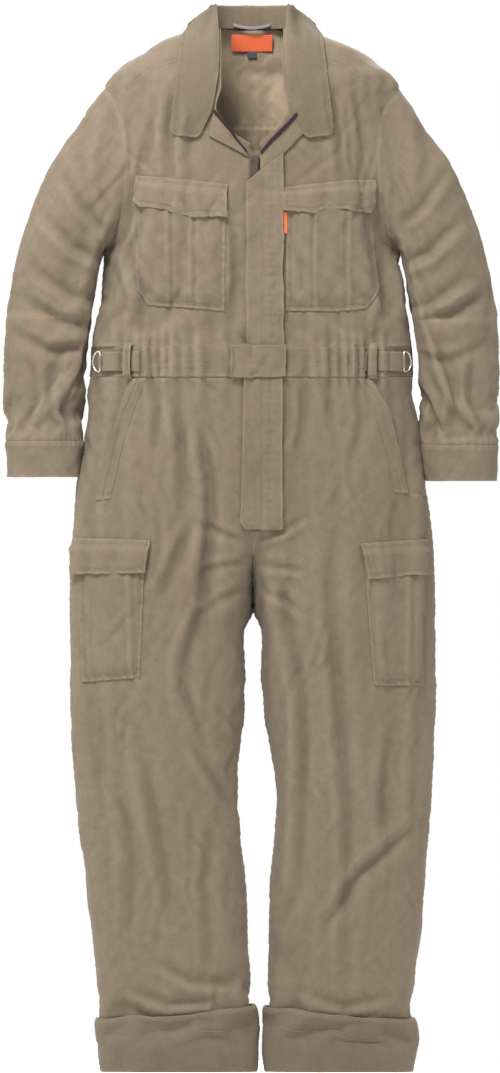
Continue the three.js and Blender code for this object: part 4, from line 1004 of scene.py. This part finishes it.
CHEST_POCKETS = {
    "right": {"top": [(0, -0.177, -0.243), (1, -0.039, -0.252)],
              "bottom": [(0, -0.174, -0.3945), (0.13, -0.157, -0.417), (1, -0.042, -0.4275)],
              "pleats": (-0.1275, -0.0915), "turn": 1},
    "left": {"top": [(0, 0.051, -0.252), (1, 0.192, -0.243)],
             "bottom": [(0, 0.051, -0.4275), (0.52, 0.123, -0.4275), (0.87, 0.172, -0.423), (1, 0.194, -0.3885)],
             "pleats": (0.096, 0.1455), "turn": -1},
}
chest_pockets = {}
for name, cut_to in CHEST_POCKETS.items():
    def pocket_lift(u, v, x, z, cut_to=cut_to):
        rise = 0.0016 + 0.0042 * pillow(u, v, 0.16, 0.16) + 0.0025 * ease((0.25 - v) / 0.25) * pillow(u, v, 0.1, 0.02)
        for at in cut_to["pleats"]:
            rise = rise + 0.0016 * np.exp(-((x - at) / 0.004) ** 2) * ease(v / 0.05) - 0.0022 * np.exp(
                -((x - at - 0.0055 * cut_to["turn"]) / 0.0028) ** 2) * (1 - 0.5 * v)
        rise = rise + 0.0012 * np.sin(x * 160 + z * 90) * np.sin(z * 70 + 1) * pillow(u, v, 0.1, 0.1)
        near = np.minimum(np.minimum(u, 1 - u) * 0.14, (1 - v) * 0.17)
        pressed = 0.0011 * np.exp(-((near - 0.0065) / 0.0016) ** 2)
        return rise - pressed + 0.0006 * np.sin((x + z) * 480) * np.exp(-near / 0.006)
    pocket = chest_pockets[name] = Patch(cut_to["top"], cut_to["bottom"], pocket_lift, cell=0.0022, smooth=1)
    pocket.make(f"chest_pocket_{name}", twill, replaces=[f"chest_pocket_{name}"])
    lines = []
    for step in (0.0016, 0.0076):
        du, dv = inset(pocket, step, step)
        lines.append(line_on(pocket, [(du, 0.05), (du, 1 - dv), (1 - du, 1 - dv), (1 - du, 0.05)]))
    for at in cut_to["pleats"]:
        share = (at - cut_to["top"][0][1]) / pocket.size[0]
        lines.append(line_on(pocket, [(share + 0.012, 0.06), (share + 0.012, 0.22)]))
    stitches(f"chest_pocket_thread_{name}", lines)

CHEST_FLAPS = {
    "right": {"top": [(0, -0.1845, -0.2205), (1, -0.036, -0.237)],
              "bottom": [(0, -0.183, -0.255), (0.10, -0.171, -0.2685), (0.38, -0.129, -0.2745), (0.60, -0.0945, -0.285),
                         (1, -0.0375, -0.2865)]},
    "left": {"top": [(0, 0.0465, -0.2415), (1, 0.195, -0.225)],
             "bottom": [(0, 0.045, -0.276), (0.33, 0.0945, -0.2805), (0.43, 0.1095, -0.273), (0.65, 0.1425, -0.2745),
                        (0.77, 0.1605, -0.279), (0.94, 0.185, -0.276), (1, 0.1935, -0.264)]},
}


def flap(name, top, bottom, hinge, body_name, swell, waves, drop, cad_node, cell=0.0022):
    """A pocket flap with its two rows of topstitching."""
    def flap_lift(u, v, x, z):
        rise = 0.0016 + swell * ease(v / 0.35) + 0.0012 * np.exp(-((v - 0.06) / 0.05) ** 2)
        rise = rise + waves * ease(v / 0.6) * np.sin(u * 9.5 + 0.8 * np.sin(x * 60)) * pillow(u, v * 0.5, 0.05, 0.02)
        edge = np.minimum(np.minimum(u, 1 - u) * 0.148, (1 - v) * drop)
        return (rise - 0.0010 * np.exp(-((edge - 0.0070) / 0.0016) ** 2)
                + 0.0005 * np.sin((x + z) * 470) * np.exp(-edge / 0.006))
    sheet = Patch(top, bottom, flap_lift, wall=0.0022, cell=cell, smooth=1)
    blend = ("root", body_name, hinge, (hinge[0], hinge[1], hinge[2] - 0.009))
    sheet.make(name, twill, blend=blend, replaces=[cad_node])
    lines = []
    for step in (0.0016, 0.0076):
        du, dv = inset(sheet, step, step)
        lines.append(line_on(sheet, [(du, 0.0), (du, 1 - dv), (1 - du, 1 - dv), (1 - du, 0.0)]))
    lines.append(line_on(sheet, [(0.0, 0.0016 / sheet.size[1]), (1.0, 0.0016 / sheet.size[1])]))
    lines.append(line_on(sheet, [(0.0, 0.0076 / sheet.size[1]), (1.0, 0.0076 / sheet.size[1])]))
    stitches(f"{name}_thread", lines, blend=blend)
    return sheet


for name, cut_to in CHEST_FLAPS.items():
    middle = (cut_to["top"][0][1] + cut_to["top"][1][1]) / 2
    hinge = (middle, -0.123, (cut_to["top"][0][2] + cut_to["top"][1][2]) / 2)
    flap(f"chest_flap_{name}", cut_to["top"], cut_to["bottom"], hinge, f"chest_flap_{name}",
         0.0062, 0.0014, 0.048, f"chest_flap_{name}")


# ---- Cargo pockets and their flaps ------------------------------------------------------------------------
# Bellows pockets across the side of each thigh, with a pleat down the front edge; the flap is wider than
# the pocket and wraps with it round the side seam.
CARGO_POCKETS = {
    "right": {"top": [(0, -0.2665, -0.780), (1, -0.1610, -0.784)],
              "bottom": [(0, -0.2640, -0.9820), (1, -0.1735, -0.9750)],
              "flap_top": [(0, -0.2680, -0.7660), (1, -0.1530, -0.7695)],
              "flap_bottom": [(0, -0.2695, -0.8205), (1, -0.1600, -0.8190)], "pleat": -0.186},
    "left": {"top": [(0, 0.1690, -0.788), (1, 0.2665, -0.782)],
             "bottom": [(0, 0.1845, -0.9850), (0.06, 0.1890, -0.9870), (1, 0.2650, -0.9870)],
             "flap_top": [(0, 0.1640, -0.7740), (1, 0.2680, -0.7680)],
             "flap_bottom": [(0, 0.1755, -0.8280), (1, 0.2700, -0.8205)], "pleat": 0.238},
}
for name, cut_to in CARGO_POCKETS.items():
    def cargo_lift(u, v, x, z, cut_to=cut_to):
        at = cut_to["pleat"]
        rise = 0.0018 + 0.0050 * pillow(u, v, 0.16, 0.12)
        rise = rise + 0.0018 * np.exp(-((x - at) / 0.005) ** 2) - 0.0026 * np.exp(-((x - at - 0.006) / 0.003) ** 2)
        rise = rise + 0.0013 * np.sin(x * 120 + z * 60) * np.sin(z * 55 + 2) * pillow(u, v, 0.1, 0.1)
        near = np.minimum(np.minimum(u, 1 - u) * 0.10, (1 - v) * 0.20)
        pressed = 0.0011 * np.exp(-((near - 0.0065) / 0.0016) ** 2)
        return rise - pressed + 0.0006 * np.sin((x + z) * 470) * np.exp(-near / 0.006)
    pocket = Patch(cut_to["top"], cut_to["bottom"], cargo_lift, cell=0.0024, smooth=1)
    pocket.make(f"cargo_pocket_{name}", twill, replaces=[f"cargo_pocket_{name}"])
    lines = []
    for step in (0.0016, 0.0076):
        du, dv = inset(pocket, step, step)
        lines.append(line_on(pocket, [(du, 0.05), (du, 1 - dv), (1 - du, 1 - dv), (1 - du, 0.05)]))
    stitches(f"cargo_pocket_thread_{name}", lines)
    middle = (cut_to["flap_top"][0][1] + cut_to["flap_top"][1][1]) / 2
    hinge = (middle, -0.105, (cut_to["flap_top"][0][2] + cut_to["flap_top"][1][2]) / 2)
    flap(f"cargo_flap_{name}", cut_to["flap_top"], cut_to["flap_bottom"], hinge, f"cargo_flap_{name}",
         0.0072, 0.0012, 0.056, f"cargo_flap_{name}", cell=0.0024)


# ---- Front closing: placket, waist patch and fly ------------------------------------------------------------
# A folded strip covers the zip from the open neck to the waistband, stitched down on its left half; a patch
# crosses the band, and the fly carries the strip on down to a bevelled end.
def strip(name, left, right, top, bottom, rise, node, stitched, cut_end=0.0, wall=0.0022, tilt=0.0):
    """A flat folded strip over the zip; its free edge is the wearer's right one, at left."""
    end = [(0, left[1], bottom + cut_end), (0.12, left[1] + 0.006, bottom), (1, right[1], bottom)] if cut_end else [
        (0, left[1], bottom), (1, right[1], bottom)]

    def strip_lift(u, v, x, z):
        wave = 0.0008 * np.sin(z * 75 + 1.5 * np.sin(z * 31)) * (1 - u)
        edge = np.minimum(u, 1 - u) * abs(right[0] - left[0])
        sewn = sum(np.exp(-((x - at) / 0.0016) ** 2) for at in stitched)
        pucker = 0.0005 * np.sin(z * 520 + 2 * np.sin(z * 90)) * np.exp(-abs(x - stitched[-1]) / 0.008)
        return rise + wave - 0.0010 * sewn + pucker + 0.0006 * np.exp(-edge / 0.002)
    sheet = Patch([(0, left[0], top), (1, right[0], top + tilt)], end, strip_lift, wall=wall, cell=0.0022, smooth=2)
    sheet.make(name, twill, replaces=[node])
    wide = right[0] - left[0]
    lines = [line_on(sheet, [((at - left[0]) / wide, 0.0), ((at - left[0]) / wide, 1.0)]) for at in stitched]
    return sheet, lines


placket, placket_lines = strip("placket", (-0.0090, -0.0075), (0.0465, 0.0465), -0.234, WAIST_TOP + 0.002, 0.0062,
                               "placket", (0.0165, 0.0300), tilt=0.044)
stitches("placket_thread", placket_lines)
fly, fly_lines = strip("fly", (-0.0120, -0.0165), (0.0450, 0.0450), WAIST_BOTTOM + 0.003, -0.7530, 0.0058, "fly",
                       (0.0135, 0.0270), cut_end=0.010)
fly_lines[1:] = [line_on(fly, [(0.70, 0.0), (0.70, 0.93), (0.62, 0.985), (0.16, 0.985)])]
stitches("fly_thread", fly_lines)
waist_patch, _ = strip("waist_patch", (-0.0330, -0.0330), (0.0500, 0.0500), WAIST_TOP + 0.0022, WAIST_BOTTOM - 0.001,
                       0.0088, "waist_patch", (0.0,))
du, dv = inset(waist_patch, 0.0016, 0.0016)
patch_round = [(du, dv), (1 - du, dv), (1 - du, 1 - dv), (du, 1 - dv), (du, dv)]
stitches("waist_patch_thread", [line_on(waist_patch, patch_round)])


# ---- Collar, lapels, belt tabs and the small trims ------------------------------------------------------------
# The collar is a stand with a fall and two pointed leaves, folded down; the fronts are turned out below it
# as small lapels. Tabs with wire rings draw in the waist.
def softened(name, cell, material, body_name="root", blend=None, rounds=4, waves=0.0006, lifted=0.0, follows=True,
             nodes=None, label=None):
    """The cloth form of one or more of the suit's small parts: remeshed fine, rounded and slightly uneven."""
    points, cells = [], []
    for node in nodes or [name]:
        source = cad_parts[node].data
        first = len(points)
        points += [v.co[:] for v in source.vertices]
        cells += [tuple(first + k for k in p.vertices) for p in source.polygons]
    mesh = bpy.data.meshes.new(label or name)
    mesh.from_pydata(points, [], cells)
    obj = bpy.data.objects.new(label or name, mesh)
    scene.collection.objects.link(obj)
    weld = obj.modifiers.new("weld", "WELD")
    weld.merge_threshold = 0.00001
    fine = obj.modifiers.new("fine", "REMESH")
    fine.mode = "VOXEL"
    fine.voxel_size = cell
    calm_down = obj.modifiers.new("calm", "SMOOTH")
    calm_down.factor, calm_down.iterations = 0.5, rounds
    result = bpy.data.meshes.new_from_object(obj.evaluated_get(bpy.context.evaluated_depsgraph_get()))
    obj.modifiers.clear()
    obj.data = result
    place = coords(result)
    if follows:
        place = follow(place, lifted)
    ways = normals(result)
    wave = sum(np.sin(place @ (rng.normal(size=3) * 110) + rng.uniform(0, 6)) for _ in range(5)) / 5
    place += ways * (wave * waves)[:, None]
    result.vertices.foreach_set("co", place.ravel())
    result.update()
    result.materials.clear()
    result.materials.append(material)
    result.polygons.foreach_set("use_smooth", [True] * len(result.polygons))
    attach(obj, body_name, blend)
    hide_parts(*(nodes or [name]))
    return obj


softened("collar_stand", 0.0016, twill, follows=False)
# The collar fall takes the darkened twill, which is painted shade.
softened("collar_fall", 0.0016, painted_shade_twill, follows=False, waves=0.0009)

LEAF_TOP = [(0, 0.1060, -0.0120), (0.20, 0.0960, 0.0020), (0.45, 0.0800, 0.0190), (1, 0.0540, 0.0350)]
LEAF_FOOT = [(0, 0.1225, -0.1520), (0.05, 0.1215, -0.1600), (0.13, 0.1150, -0.1645), (0.40, 0.0980, -0.1660),
             (0.60, 0.0850, -0.1680), (0.70, 0.0780, -0.1640), (1, 0.0610, -0.1300)]
for name, side in (("right", -1), ("left", 1)):
    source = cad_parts[f"collar_leaf_{name}"].data
    leaf_tree = BVHTree.FromPolygons([v.co[:] for v in source.vertices], [p.vertices[:] for p in source.polygons])
    rows, columns = 56, 30
    v, u = np.meshgrid(np.linspace(0, 1, rows), np.linspace(0, 1, columns), indexing="ij")
    spots = outline(LEAF_TOP, u) * (1 - v[..., None]) + outline(LEAF_FOOT, u) * v[..., None]
    spots[..., 0] -= 0.0085 * np.sin(math.pi * v) * u
    leaf = np.empty((rows, columns, 3))
    for r in range(rows):
        for c in range(columns):
            px, pz = side * spots[r, c, 0], spots[r, c, 1]
            hit = leaf_tree.ray_cast(Vector((px, -0.5, pz)), Vector((0, 1, 0)))[0]
            hit = hit or leaf_tree.find_nearest(Vector((px, -0.09, pz)))[0]
            leaf[r, c] = (px, hit.y, pz)
    under = lay_on(np.c_[side * spots[..., 0].ravel(), spots[..., 1].ravel()], 0.0052)[:, 1].reshape(rows, columns)
    leaf[..., 1] = np.where(spots[..., 1] < -0.03, np.minimum(leaf[..., 1], under), leaf[..., 1])
    for _ in range(14):
        middle = leaf[1:-1, 1:-1, 1]
        leaf[1:-1, 1:-1, 1] = 0.5 * middle + 0.125 * (leaf[:-2, 1:-1, 1] + leaf[2:, 1:-1, 1] + leaf[1:-1, :-2, 1]
                                                     + leaf[1:-1, 2:, 1])
    leaf[..., 1] = np.where(spots[..., 1] < -0.03, np.minimum(leaf[..., 1], under), leaf[..., 1])
    edge = np.minimum(np.minimum(u * 0.066, (1 - v) * 0.16), 0.05)
    leaf[..., 1] += (0.0010 * np.exp(-((edge - 0.0062) / 0.0016) ** 2)
                     - 0.0006 * np.sin(v * 62 + 2 * np.sin(v * 17)) * np.exp(-edge / 0.007)
                     - 0.0014 * np.sin(v * 7 + u * 3) * u * (1 - v))
    sheet = Patch.__new__(Patch)
    sheet.shape, sheet.outer, sheet.wall, sheet.size = (rows, columns), leaf, 0.0026, (0.066, 0.165)
    sheet.face()
    fold_middle = Vector((side * 0.0830, -0.045, 0.0130))
    leaf_blend = ("root", f"collar_leaf_{name}", fold_middle, fold_middle + Vector((-side * 0.0100, 0, -0.0110)))
    # The collar leaves take the darkened twill, which is painted shade.
    sheet.make(f"collar_leaf_{name}", painted_shade_twill, blend=leaf_blend, replaces=[f"collar_leaf_{name}"])
    du, dv = inset(sheet, 0.0062, 0.0062)
    stitches(f"collar_leaf_thread_{name}", [line_on(sheet, [(du, 0.02), (du, 1 - dv), (0.60, 1 - dv), (0.95, 1 - dv)])],
             blend=leaf_blend)
for name, side in (("right", -1), ("left", 1)):
    softened(f"lapel_{name}", 0.0012, twill, waves=0.0004, lifted=0.0012)
    softened(f"waist_strap_{name}", 0.0012, twill, waves=0.0004, lifted=0.0016)
    softened(f"belt_keeper_{name}", 0.0010, twill, waves=0.0002, lifted=0.0018)
    softened(f"ring_loop_{name}", 0.0008, twill, waves=0.0, follows=False)
    softened(f"hip_bag_{name}", 0.0022, twill, waves=0.0, lifted=-0.006)


# ---- Turn-ups ---------------------------------------------------------------------------------------------
# Each hem is rolled up once by about 90 mm, so two layers stand off the leg and its own hem stitching
# shows on the outside, a third of the way down.
TURN_UP_STAND, TURN_UP_WALL = 0.0058, 0.0040
for name, side in (("right", -1), ("left", 1)):
    own = np.isin(panel_of, [PANELS.index(f"trouser_{face}_{name}") for face in ("front", "back")])
    heights = flat[quads][..., 2]
    cells = quads[own & (heights.max(1) < TURN_UP_TOP + 0.0008)]
    x, y, z = flat.T
    share = np.clip((z - HEM) / (TURN_UP_TOP - HEM), 0, 1)
    tilt = -side * (x - side * 0.125) * 0.085
    round_off = 0.0014 * (np.exp(-(1 - share) / 0.02) + np.exp(-share / 0.03))
    wave = 0.0007 * np.sin(x * 48 + 3 * np.sin(y * 40)) * share + 0.0003 * np.sin(x * 210 + z * 90)
    bulge = 0.0016 * np.sin(share * math.pi) + 0.0020 * share
    hem_line = -0.0011 * np.exp(-((share - 0.66) / 0.018) ** 2) + 0.0007 * np.exp(-((share - 0.62) / 0.03) ** 2)
    lifted = placed + outward * (TURN_UP_STAND + bulge + wave + hem_line - round_off)[:, None]
    lifted[:, 2] += tilt * ease(share * 1.1)
    inner = placed + outward * (TURN_UP_STAND + bulge + wave - TURN_UP_WALL)[:, None]
    inner[:, 2] += tilt * ease(share * 1.1)
    # The turn-ups take the darkened twill, which is painted shade.
    thin_piece(f"turn_up_{name}", cells, lifted, inner, painted_shade_twill, body_name=f"shin_{name}",
               replaces=[f"turn_up_{name}"])
    for number, level in enumerate((0.665, 0.985)):
        rows_near = np.unique(cells)
        level_z = HEM + (TURN_UP_TOP - HEM) * level
        heights_here = np.unique(np.round(flat[rows_near, 2], 4))
        row_z = heights_here[np.argmin(abs(heights_here - level_z))]
        ring = rows_near[abs(flat[rows_near, 2] - row_z) < 0.0006]
        centre = flat[ring].mean(0)
        order = ring[np.argsort(np.arctan2(flat[ring, 1] - MID_Y, flat[ring, 0] - centre[0]))]
        order = np.r_[order, order[:1]]
        stitches(f"turn_up_thread_{name}_{number}", [(lifted[order] + outward[order] * 0.0003, outward[order])],
                 body_name=f"shin_{name}")


# ---- Slash pockets ------------------------------------------------------------------------------------------
# The hip openings run down and out from under the waistband to the side seams. Each has a turned lip with
# two rows of stitching, and a bar of close stitches at its foot.
SLASHES = {
    "right": [(0, -0.1790, -0.5290), (0.35, -0.1985, -0.5790), (0.72, -0.2225, -0.6500), (1, -0.2370, -0.7100)],
    "left": [(0, 0.1790, -0.5290), (0.35, 0.2030, -0.5790), (0.72, 0.2240, -0.6450), (1, 0.2370, -0.7000)],
}
for name, side in (("right", -1), ("left", 1)):
    outer_line = SLASHES[name]
    inner_line = [(share, px - side * 0.021, pz + 0.002) for share, px, pz in outer_line]

    def lip_lift(u, v, x, z):
        gape = np.sin(np.clip(u / 0.75, 0, 1) * math.pi)
        pressed = 0.0010 * np.exp(-((v - 0.52) / 0.09) ** 2)
        return 0.0008 + (0.0018 + 0.0062 * gape) * ease(v) + 0.0005 * np.sin(z * 480) * v - pressed

    lip = Patch(inner_line, outer_line, lip_lift, wall=0.0016, cell=0.0016, smooth=1)
    lip.size = (0.19, 0.021)
    lip.make(f"slash_lip_{name}", twill)
    stitches(f"slash_thread_{name}", [line_on(lip, [(0.0, v), (1.0, v)]) for v in (0.52, 0.88)])
    stitches(f"slash_bar_{name}", [line_on(lip, [(share, 0.05), (share, 1.0)]) for share in (0.955, 0.963, 0.971)],
             tight=0.5)


# ---- Seam stitching -----------------------------------------------------------------------------------------
# The long seams are felled and stitched twice: shoulders, armholes, back yoke, sides, inside legs, crotch
# and seat; cuffs and waistband carry a row along each edge, and the elastic is caught down by three more.
def line_along(points, up=0.0003):
    """A stitching line beside the uncreased suit, taken to the suit as it lies."""
    spots, ways = np.empty((len(points), 3)), np.empty((len(points), 3))
    for k, point in enumerate(points):
        spot, _, face, _ = flat_tree.find_nearest(Vector(point))
        spots[k], ways[k] = carried(np.array(spot), triangles[face])
    return spots + ways * up, ways


def surface_line(spots, back=False, step=0.005, up=0.0003):
    """A line across the front or back through (x, z) spots."""
    spots = np.array(spots, float)
    run = np.r_[0, np.cumsum(np.hypot(*np.diff(spots, axis=0).T))]
    even = np.linspace(0, run[-1], max(2, int(run[-1] / step)) + 1)
    sign = 1 if back else -1
    points = []
    for px, pz in zip(np.interp(even, run, spots[:, 0]), np.interp(even, run, spots[:, 1])):
        spot, _, _, _ = flat_tree.ray_cast(Vector((px, sign * 0.5, pz)), Vector((0, -sign, 0)))
        points.append(tuple(spot) if spot else (px, MID_Y, pz))
    return line_along(points, up)


shoulder_lines = []
for off in (0.0, -0.0062):
    shoulder_lines.append(surface_line([(-0.108, -0.043 + off), (-0.150, -0.060 + off), (-0.196, -0.088 + off)]))
    shoulder_lines.append(surface_line([(0.110, -0.046 + off), (0.155, -0.064 + off), (0.200, -0.094 + off)]))
    shoulder_lines.append(surface_line([(px, YOKE_SEAM - 0.0018 + off) for px in np.linspace(-0.186, 0.186, 30)], True))
stitches("shoulder_thread", shoulder_lines)

armhole_lines = []
for side in (-1, 1):
    for off in (0.0022, 0.0084):
        for sign in (-1, 1):
            levels = np.linspace(TIP - 0.003, ARMPIT + 0.003, 70)
            armhole_lines.append(line_along([
                (side * (float(armhole(level)) - off * 0.45), MID_Y + sign * (armhole_depth(level) + off * 0.9), level)
                for level in levels]))
stitches("armhole_thread", armhole_lines)

body_lines, seat_lines = [], []
for side in (-1, 1):
    for off in (0.0030, 0.0090):
        levels = np.linspace(ARMPIT - 0.006, WAIST_TOP - 0.0005, 30)
        body_lines.append(line_along([(side * side_end(level), MID_Y + off, level) for level in levels]))
for level in (WAIST_TOP - 0.0020, WAIST_BOTTOM + 0.0020):
    for side in (-1, 1):
        body_lines.append(surface_line([(px, level) for px in np.linspace(side * 0.052, side * 0.238, 34)], up=0.0019))
    body_lines.append(surface_line([(px, level) for px in np.linspace(-0.238, 0.238, 80)], True, up=0.0019))
for share in (0.30, 0.50, 0.70):
    level = WAIST_TOP + (WAIST_BOTTOM - WAIST_TOP) * share
    body_lines.append(surface_line([(px, level) for px in np.linspace(-0.228, 0.228, 80)], True, up=0.0019))
    body_lines.append(surface_line([(px, level) for px in np.linspace(0.072, 0.168, 30)], up=0.0019))
    body_lines.append(surface_line([(px, level) for px in np.linspace(-0.160, -0.060, 30)], up=0.0019))
stitches("body_thread", body_lines)
for px in (-0.0036, 0.0036):
    seat_lines.append(surface_line([(px, level) for level in np.linspace(FLY_BOTTOM - 0.004, CROTCH + 0.010, 24)]))
for px in (0.0030, 0.0092):
    seat_lines.append(surface_line([(px, level) for level in np.linspace(WAIST_BOTTOM - 0.002, CROTCH + 0.012, 60)], True))
stitches("seat_thread", seat_lines)

for name, side in (("right", -1), ("left", 1)):
    leg_lines = []
    for off in (0.0030, 0.0090):
        levels = np.linspace(WAIST_BOTTOM - 0.002, TURN_UP_TOP + 0.004, 170)
        leg_lines.append(line_along([(side * side_end(level), MID_Y + off, level) for level in levels]))
        levels = np.linspace(CROTCH - 0.012, TURN_UP_TOP + 0.004, 110)
        leg_lines.append(line_along([(side * float(inseam(level)), MID_Y + off, level) for level in levels]))
    stitches(f"leg_thread_{name}", leg_lines, blend=SHIN_BLENDS[name])
    cuff_lines = []
    for at in (CUFF_AT + 0.0024, CUFF_AT + 0.0085, ring_run[-1] - 0.0035):
        ring = sleeve_ring(at) * (side, 1, 1)
        cuff_lines.append(line_along(ring, 0.0018))
    stitches(f"cuff_thread_{name}", cuff_lines, body_name=f"forearm_{name}")
    sleeve_rings = [sleeve_ring(at) * (side, 1, 1) for at in np.linspace(0.010, CUFF_AT - 0.003, 90)]
    seam_at = ARM_ROWS + 2
    upper = [ring[seam_at] for ring, at in zip(sleeve_rings, np.linspace(0.010, CUFF_AT - 0.003, 90)) if at < ELBOW_AT]
    lower = [ring[seam_at] for ring, at in zip(sleeve_rings, np.linspace(0.010, CUFF_AT - 0.003, 90)) if at >= ELBOW_AT]
    stitches(f"sleeve_upper_thread_{name}", [line_along(upper)], blend=ARM_BLENDS[name])
    stitches(f"sleeve_lower_thread_{name}", [line_along(lower)], blend=FOREARM_BLENDS[name])


# ---- Trims: hanger loop, labels, zip and rings -----------------------------------------------------------------
# A woven tape loop, a plain orange woven label and a grey size tag inside the back neck, an orange tab in
# the left chest pocket's seam, a dark nylon zip on its tape and two D-rings of plated wire.
def woven_material(name, colour, scale, sheen=0.3, rough=0.7, ribbed=True, gloss=0.3):
    material = bpy.data.materials.new(name)
    material.use_nodes = True
    make = node_maker(material)
    shader = material.node_tree.nodes["Principled BSDF"]
    place = make("ShaderNodeNewGeometry").outputs["Position"]
    across = make("ShaderNodeTexWave", {"Vector": place, "Scale": scale, "Distortion": 0.6, "Detail": 1.0},
                  wave_type="BANDS", bands_direction="Z" if ribbed else "DIAGONAL")
    speck = make("ShaderNodeTexNoise", {"Vector": place, "Scale": 620.0, "Detail": 3.0})
    both = make("ShaderNodeMath", {0: across.outputs["Fac"], 1: speck.outputs["Fac"]}, operation="MULTIPLY_ADD")
    both.inputs[2].default_value = 0.2
    ramp = make("ShaderNodeValToRGB", {"Fac": both.outputs["Value"]})
    ramp.color_ramp.elements[0].color = (*(c * 0.78 for c in colour), 1)
    ramp.color_ramp.elements[1].color = (*(min(1, c * 1.15) for c in colour), 1)
    bump = make("ShaderNodeBump", {"Height": both.outputs["Value"], "Strength": 0.3, "Distance": 0.0003})
    material.node_tree.links.new(ramp.outputs["Color"], shader.inputs["Base Color"])
    material.node_tree.links.new(bump.outputs["Normal"], shader.inputs["Normal"])
    shader.inputs["Roughness"].default_value = rough
    shader.inputs["Sheen Weight"].default_value = sheen
    shader.inputs["Specular IOR Level"].default_value = gloss
    return material


def metal_material(name, colour, rough):
    material = bpy.data.materials.new(name)
    material.use_nodes = True
    make = node_maker(material)
    shader = material.node_tree.nodes["Principled BSDF"]
    place = make("ShaderNodeNewGeometry").outputs["Position"]
    rub = make("ShaderNodeTexNoise", {"Vector": place, "Scale": 240.0, "Detail": 4.0})
    ramp = make("ShaderNodeValToRGB", {"Fac": rub.outputs["Fac"]})
    ramp.color_ramp.elements[0].color = (*(c * 0.7 for c in colour), 1)
    ramp.color_ramp.elements[1].color = (*(min(1, c * 1.15) for c in colour), 1)
    dull = make("ShaderNodeMapRange", {"Value": rub.outputs["Fac"], "To Min": rough * 0.75, "To Max": rough * 1.4})
    material.node_tree.links.new(ramp.outputs["Color"], shader.inputs["Base Color"])
    material.node_tree.links.new(dull.outputs["Result"], shader.inputs["Roughness"])
    shader.inputs["Metallic"].default_value = 1.0
    return material


orange_weave = woven_material("orange_label_weave", (0.60, 0.100, 0.030), 700)
tag_weave = woven_material("grey_tag_weave", (0.055, 0.052, 0.060), 900)
loop_weave = woven_material("loop_tape_weave", (0.15, 0.125, 0.135), 420, ribbed=False)
zip_weave = woven_material("zip_tape_weave", (0.022, 0.012, 0.016), 520, sheen=0.0, gloss=0.05)
zip_nylon = woven_material("zip_nylon", (0.045, 0.026, 0.030), 200, sheen=0.0, rough=0.4)
ring_plate = metal_material("ring_plate", (0.62, 0.57, 0.48), 0.28)
slider_plate = metal_material("slider_plate", (0.10, 0.080, 0.070), 0.38)

softened("hanger_loop", 0.0007, loop_weave, follows=False, waves=0.0001, rounds=2)
softened("neck_label", 0.0006, orange_weave, follows=False, waves=0.0002, rounds=2)
softened("size_tag", 0.0005, tag_weave, follows=False, waves=0.0001, rounds=2)
softened("pocket_tag", 0.0005, orange_weave, waves=0.0001, rounds=2, lifted=0.0016)
softened("zip_slider", 0.00035, slider_plate, body_name="zip_slider", follows=False, waves=0.0, rounds=2)
softened("zip_pull", 0.00030, slider_plate, body_name="zip_slider", follows=False, waves=0.0, rounds=2)
for name in ("right", "left"):
    softened(f"zip_tape_{name}", 0.0008, zip_weave, waves=0.0001, rounds=2, lifted=0.0012)
    softened(f"d_ring_{name}", 0.0004, ring_plate, body_name=f"d_ring_{name}", follows=False, waves=0.0, rounds=3)

chain_low, chain_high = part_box("zip_chain")
TOOTH, PITCH = Vector((0.0032, 0.0018, 0.0009)), 0.0017
teeth = bmesh.new()
count = int((chain_high.z - chain_low.z) / PITCH)
for k in range(count):
    for side in (-1, 1):
        made = bmesh.ops.create_cube(teeth, size=1.0)
        centre = Vector(((chain_low.x + chain_high.x) / 2 + side * 0.0008, (chain_low.y + chain_high.y) / 2,
                         chain_low.z + (k + 0.5 + side * 0.25) * PITCH))
        for corner in made["verts"]:
            taper = 0.75 if corner.co.x * side < 0 else 1.0
            corner.co = centre + Vector((corner.co.x * TOOTH.x, corner.co.y * TOOTH.y, corner.co.z * TOOTH.z * taper))
bmesh.ops.bevel(teeth, geom=teeth.edges[:], offset=0.0002, segments=1, affect="EDGES")
chain_mesh = bpy.data.meshes.new("zip_chain_teeth")
teeth.to_mesh(chain_mesh)
teeth.free()
chain_mesh.materials.append(zip_nylon)
chain = bpy.data.objects.new("zip_chain_teeth", chain_mesh)
scene.collection.objects.link(chain)
attach(chain, "root")
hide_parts("zip_chain")
